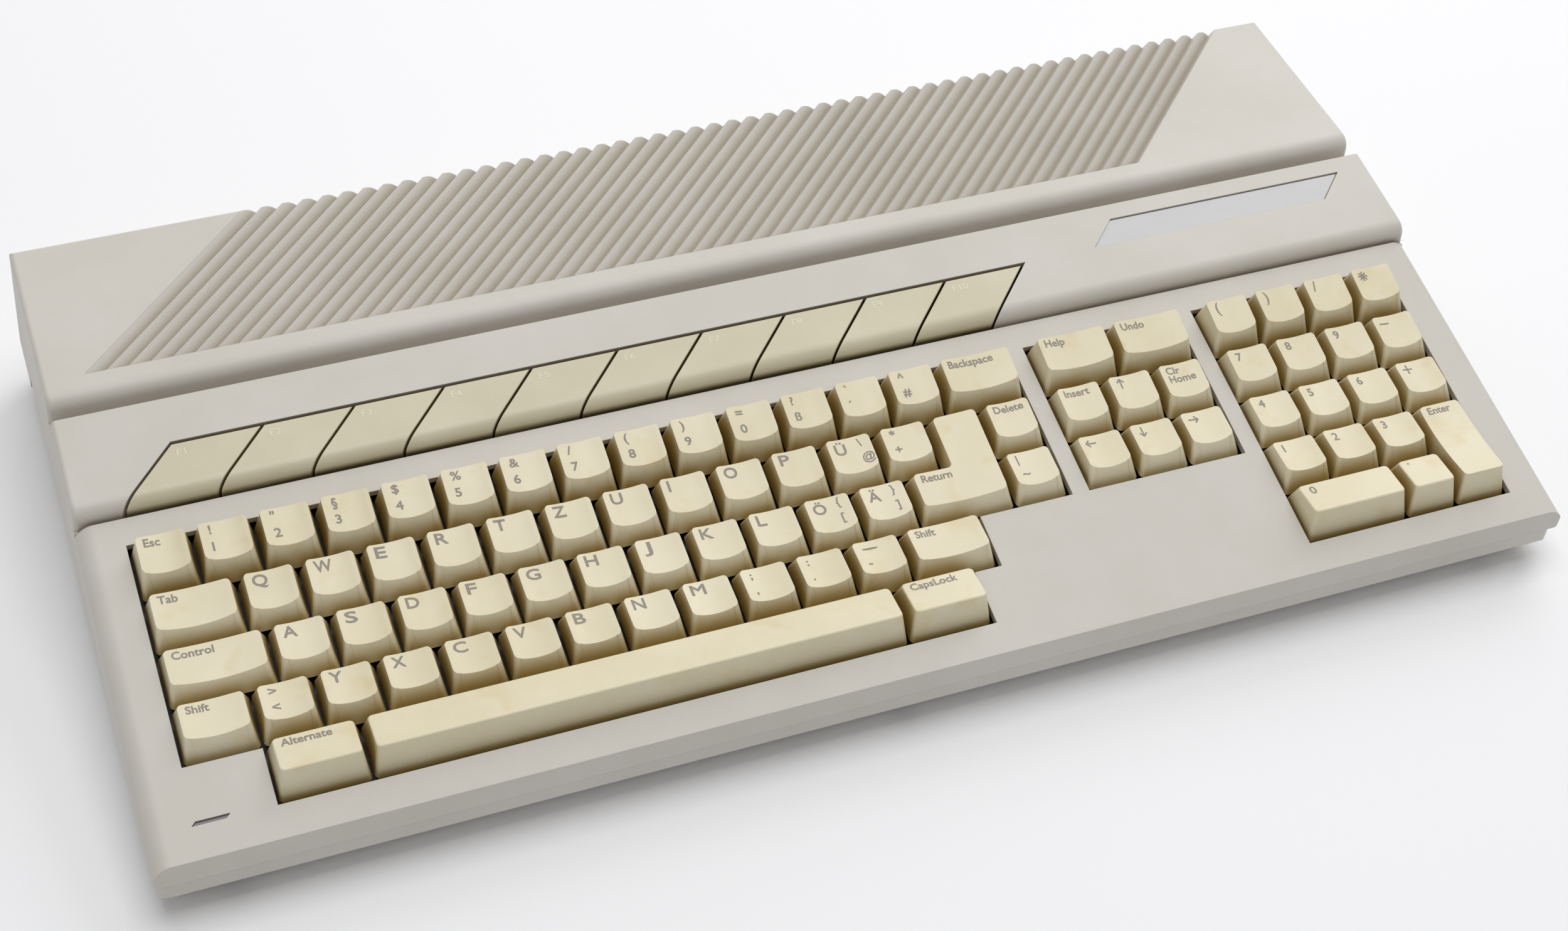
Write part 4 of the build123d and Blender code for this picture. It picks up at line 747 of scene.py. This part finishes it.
# ---------------------------------------------------------------- function keys
into_deck = deck.inverted() @ Matrix.Scale(MM, 4)
deck_rear_y = crease_y + deck_length * cos(deck_slope)
deck_rear_z = crease_height + deck_length * sin(deck_slope)
nose_centre = Vector((0, deck_rear_y + nose_groove + nose_radius, deck_rear_z + nose_rise))
nose_turn = pi / 2 - band_slope    # the roll meets the rising band short of its own top
function_rear = deck_length + function_depth - function_gap


def nose_point(angle):
    """A point of the band's rolled front edge, in the deck's frame. 0 is its foremost point."""
    point = into_deck @ (nose_centre + nose_radius * Vector((0, -cos(angle), sin(angle))))
    return Vector((0, point.y, point.z))


def band_height(x, y):
    """Height of the band above the deck plane, y up the deck."""
    start = nose_point(nose_turn)
    return start.z + (y - start.y) * tan(band_slope - deck_slope)


def function_cap():
    """The first function key: the band's own outline, drawn across and leaned."""
    bm = bmesh.new()
    outline = [nose_point(nose_turn * n / nose_steps) for n in range(nose_steps + 1)]
    front = outline[0].y
    outline.append(Vector((0, function_rear, band_height(0, function_rear))))
    outline.append(Vector((0, function_rear, skirt_level)))
    outline.append(Vector((0, front, skirt_level)))
    side = bm.faces.new([bm.verts.new(point) for point in outline])
    draw_out(bm, [side], (function_pitch - function_gap, 0, 0))
    for vert in bm.verts:
        vert.co.x += function_left + function_gap + function_lean * (vert.co.y - deck_length)
    bmesh.ops.recalc_face_normals(bm, faces=bm.faces)
    edges = [edge for edge in bm.edges if edge.calc_face_angle() > sharp_edge
             and max(vert.co.z for vert in edge.verts) > rounded_from]
    round_edges(bm, edges, function_rim_round, rim_steps)
    open_base(bm)
    stem_x = function_left + (function_gap + function_pitch + function_lean * function_depth) / 2
    add_stem(bm, stem_x, deck_length + function_depth / 2)
    return bm


for number in range(1, function_count + 1):
    shift = Matrix.Translation(((number - 1) * function_pitch, 0, 0))
    key = bmesh.new()
    join_into(key, function_cap(), shift)
    finish_piece(key, f"f{number}_cap", f"f{number}", function_plastic,
                 f"f{number}_key")
    key_print = bmesh.new()
    text_y = function_rear - legend_drop
    text_x = function_left + function_gap + function_lean * (text_y - deck_length) + legend_inset
    lettering(key_print, f"F{number}", legend_height, text_x, text_y, band_height, sign_stretch,
              thin)
    key_print.transform(shift)
    finish_piece(key_print, f"f{number}_print", f"f{number}", function_ink,
                 None, False)

# ---------------------------------------------------------------- sockets
# These are in the part's own frame, in millimetres. Each is drawn facing +Y and then turned.
case_frame = Matrix.Scale(MM, 4)
socket_level = 18.15
rear_rim_y = 120.0         # rims of the D shells in the back
rear_floor_y = 113.2       # floor of the open one
side_floor_x = 230.95      # floors of the two in the right side
modem_x = 140.0            # middle of the open one
side_plug_y = (-28.0, 12.0)
closed_shells = ((25, 82.0), (19, 28.0))        # contacts and middles: printer, hard disk
closed_shells_end = 110.0  # both lie left of this
shell_width = {25: 39.0, 19: 30.5, 9: 16.9}
shell_height = 8.4
shell_lean = radians(10)   # of the slanted ends
shell_wall = 0.6
shell_sink = 0.6
insert_inset = 1.4 * shell_wall
contact_pitch = 2.76
contact_rows = 2.84
contact_radius = 0.5
contact_length = 5.2       # of the pins in the open ones
sleeve_radius = contact_radius + 0.2            # of the contacts in the closed ones
socket_face_y = 117.55     # of the round sockets
ring_radius = 6.6
ring_wall = 0.35           # its face is sunk by as much
disc_radius = 6.3
round_sides = 40
hole_radius = 0.6


def sink(bm, faces, wall, depth):
    """Sinks flat faces that look along +Y, inside a wall."""
    bmesh.ops.inset_region(bm, faces=faces, thickness=wall, use_even_offset=True)
    draw_out(bm, faces, (0, -depth, 0))
    bmesh.ops.delete(bm, geom=faces, context="FACES")


def add_round(bm, x, z, radius, near, far, wall=0.0, depth=0.0, sides=12):
    """A round post along Y from near to far, sunk inside its wall when depth is given."""
    place = Matrix.Translation((x, (near + far) / 2, z)) @ Matrix.Rotation(-pi / 2, 4, "X")
    post = bmesh.new()
    bmesh.ops.create_cone(post, cap_ends=True, segments=sides, radius1=radius, radius2=radius,
                          depth=far - near, matrix=place)
    if depth:
        ends = [face for face in post.faces if face.calc_center_median().y > far - touch]
        sink(post, ends, wall, depth)
    join_into(bm, post, Matrix.Identity(4))


def add_insert(bm, pins, near, far):
    """The D-shaped plastic block that holds the contacts, its wide side up."""
    half = shell_width[pins] / 2 - insert_inset
    rise = shell_height / 2 - insert_inset
    lean = 2 * rise * tan(shell_lean)
    corners = [(-half, rise), (half, rise), (half - lean, -rise), (lean - half, -rise)]
    block = bmesh.new()
    face = block.faces.new([block.verts.new((x, near, z)) for x, z in corners])
    draw_out(block, [face], (0, far - near, 0))
    join_into(bm, block, Matrix.Identity(4))


def d_contacts(pins):
    """Places of a D connector's contacts, the longer row up."""
    upper = (pins + 1) // 2
    rows = ((upper, contact_rows / 2), (pins - upper, -contact_rows / 2))
    return [((n - (count - 1) / 2) * contact_pitch, z) for count, z in rows for n in range(count)]


def arc_contacts(count, radius, sweep):
    """Places of contacts on an arc that is open at the bottom."""
    turns = [radians(90 - sweep / 2 + sweep * n / (count - 1)) for n in range(count)]
    return [(radius * cos(turn), radius * sin(turn)) for turn in turns]


def shift_to(x, y=0.0):
    """Moves a connector along the wall, at the height of all sockets."""
    return Matrix.Translation((x, y, socket_level))


inserts = bmesh.new()
metal = bmesh.new()
to_right_side = Matrix.Rotation(-pi / 2, 4, "Z")
open_plugs = [(25, rear_floor_y, shift_to(modem_x))]
open_plugs += [(9, side_floor_x, shift_to(0, y) @ to_right_side) for y in side_plug_y]
for pins, floor_level, place in open_plugs:
    piece = bmesh.new()
    add_insert(piece, pins, floor_level - 0.5, floor_level + 0.4)
    join_into(inserts, piece, place)
    piece = bmesh.new()
    for x, z in d_contacts(pins):
        add_round(piece, x, z, contact_radius, floor_level, floor_level + contact_length)
    join_into(metal, piece, place)
for pins, x_middle in closed_shells:
    piece = bmesh.new()
    add_insert(piece, pins, rear_rim_y - 1.5, rear_rim_y - 0.5)
    join_into(inserts, piece, shift_to(x_middle))
    piece = bmesh.new()
    for x, z in d_contacts(pins):
        add_round(piece, x, z, sleeve_radius, rear_rim_y - 1.4, rear_rim_y - 0.4, 0.2, 0.8)
    join_into(metal, piece, shift_to(x_middle))

midi = arc_contacts(5, 3.5, 180)
drive = arc_contacts(9, 4.4, 280) + arc_contacts(5, 2.1, 240)
monitor = arc_contacts(9, 4.4, 280) + arc_contacts(4, 2.1, 240)
power = arc_contacts(7, 3.6, 270)
round_sockets = ((209.0, midi), (184.0, midi), (-14.0, drive), (-37.0, monitor), (-62.0, power))
steel_rings = bmesh.new()
for x_middle, places in round_sockets:
    piece = bmesh.new()
    add_round(piece, 0, 0, ring_radius, socket_face_y - 1, socket_face_y + 0.4, ring_wall,
              ring_wall, round_sides)
    join_into(steel_rings, piece, shift_to(x_middle))
    piece = bmesh.new()
    add_round(piece, 0, 0, disc_radius, socket_face_y - 0.5, socket_face_y + 0.15,
              sides=round_sides)
    join_into(inserts, piece, shift_to(x_middle))
    piece = bmesh.new()
    for x, z in places:
        add_round(piece, x, z, hole_radius, socket_face_y - 1, socket_face_y + 0.25, 0.15, 0.9)
    join_into(metal, piece, shift_to(x_middle))
finish_piece(inserts, "socket_inserts", "case", black_plastic, None, False,
             case_frame)
finish_piece(metal, "socket_contacts", "case", contact_brass, None, False,
             case_frame)
finish_piece(steel_rings, "socket_rings", "case", tinned_steel, None, False,
             case_frame)

# The closed D shells are sunk inside their rims, to take their inserts.
shells = bmesh.new()
shells.from_mesh(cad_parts["rear_d_connectors"].data)
shells.transform(case_frame.inverted())
bmesh.ops.remove_doubles(shells, verts=shells.verts, dist=touch)
closed = [face for face in shells.faces
          if min(vert.co.y for vert in face.verts) > rear_rim_y - touch
          and face.calc_center_median().x < closed_shells_end]
sink(shells, closed, shell_wall, shell_sink)
finish_piece(shells, "rear_d_shells", "case", tinned_steel,
             "rear_d_connectors", False, case_frame)

# ---------------------------------------------------------------- floor, light and camera
floor_half = 6.0           # half its side, in metres
floor_bm = bmesh.new()
bmesh.ops.create_grid(floor_bm, x_segments=1, y_segments=1, size=floor_half)
floor_mesh = bpy.data.meshes.new("floor")
floor_bm.to_mesh(floor_mesh)
floor_bm.free()
floor = bpy.data.objects.new("floor", floor_mesh)
bpy.context.collection.objects.link(floor)
floor_material, tree, output = new_material("pale_paper_floor")
shader = add(tree, "ShaderNodeBsdfPrincipled", Base_Color=colour("#FAFAFC"), Roughness=0.9)
tree.links.new(shader.outputs["BSDF"], output.inputs["Surface"])
floor_mesh.materials.append(floor_material)

room_light = 0.37
softbox_side = 1.2
world = bpy.data.worlds.new("studio")
bpy.context.scene.world = world
world.use_nodes = True
tree = world.node_tree
tree.nodes.clear()
# The room is seen, mirrored and seen through as white, and lights more weakly than that.
rays = add(tree, "ShaderNodeLightPath").outputs
seen = add(tree, "ShaderNodeMath", {"operation": "MAXIMUM"}, i0=rays["Is Camera Ray"],
           i1=rays["Is Glossy Ray"]).outputs[0]
seen = add(tree, "ShaderNodeMath", {"operation": "MAXIMUM"}, i0=seen,
           i1=rays["Is Transmission Ray"]).outputs[0]
strength = add(tree, "ShaderNodeMapRange", Value=seen, To_Min=room_light, To_Max=1.0)
background = add(tree, "ShaderNodeBackground", Color=(1.0, 1.0, 1.0, 1.0),
                 Strength=strength.outputs["Result"])
add(tree, "ShaderNodeOutputWorld", Surface=background.outputs["Background"])


def softbox(name, place, watts):
    """A square soft light at place, turned to the object."""
    data = bpy.data.lights.new(name, "AREA")
    data.size = softbox_side
    data.energy = watts
    lamp = bpy.data.objects.new(name, data)
    lamp.location = place
    lamp.rotation_euler = (-Vector(place)).to_track_quat("-Z", "Y").to_euler()
    bpy.context.collection.objects.link(lamp)


softbox("overhead_softbox", (0.0, 0.0, 1.8), 14.3)
softbox("back_right_softbox", (1.1, 0.95, 1.2), 10.3)
softbox("low_back_softbox", (0.0, 1.7, 0.6), 3.6)

camera_data = bpy.data.cameras.new("camera")
camera_data.lens = 58.43
camera_data.sensor_width = 36.0
camera_data.sensor_fit = "HORIZONTAL"
camera_data.clip_start = 0.01
camera = bpy.data.objects.new("camera", camera_data)
camera_right = Vector((0.9348, -0.3498, 0.0619))
camera_down = Vector((-0.2134, -0.6924, -0.6892))
camera_forward = Vector((0.2839, 0.6310, -0.7219))
turn = Matrix((camera_right, -camera_down, -camera_forward)).transposed().to_4x4()
camera.matrix_world = Matrix.Translation(Vector((-0.24945, -0.5582, 0.63857))) @ turn
bpy.context.collection.objects.link(camera)
bpy.context.scene.camera = camera
bpy.context.scene.view_settings.view_transform = "Standard"
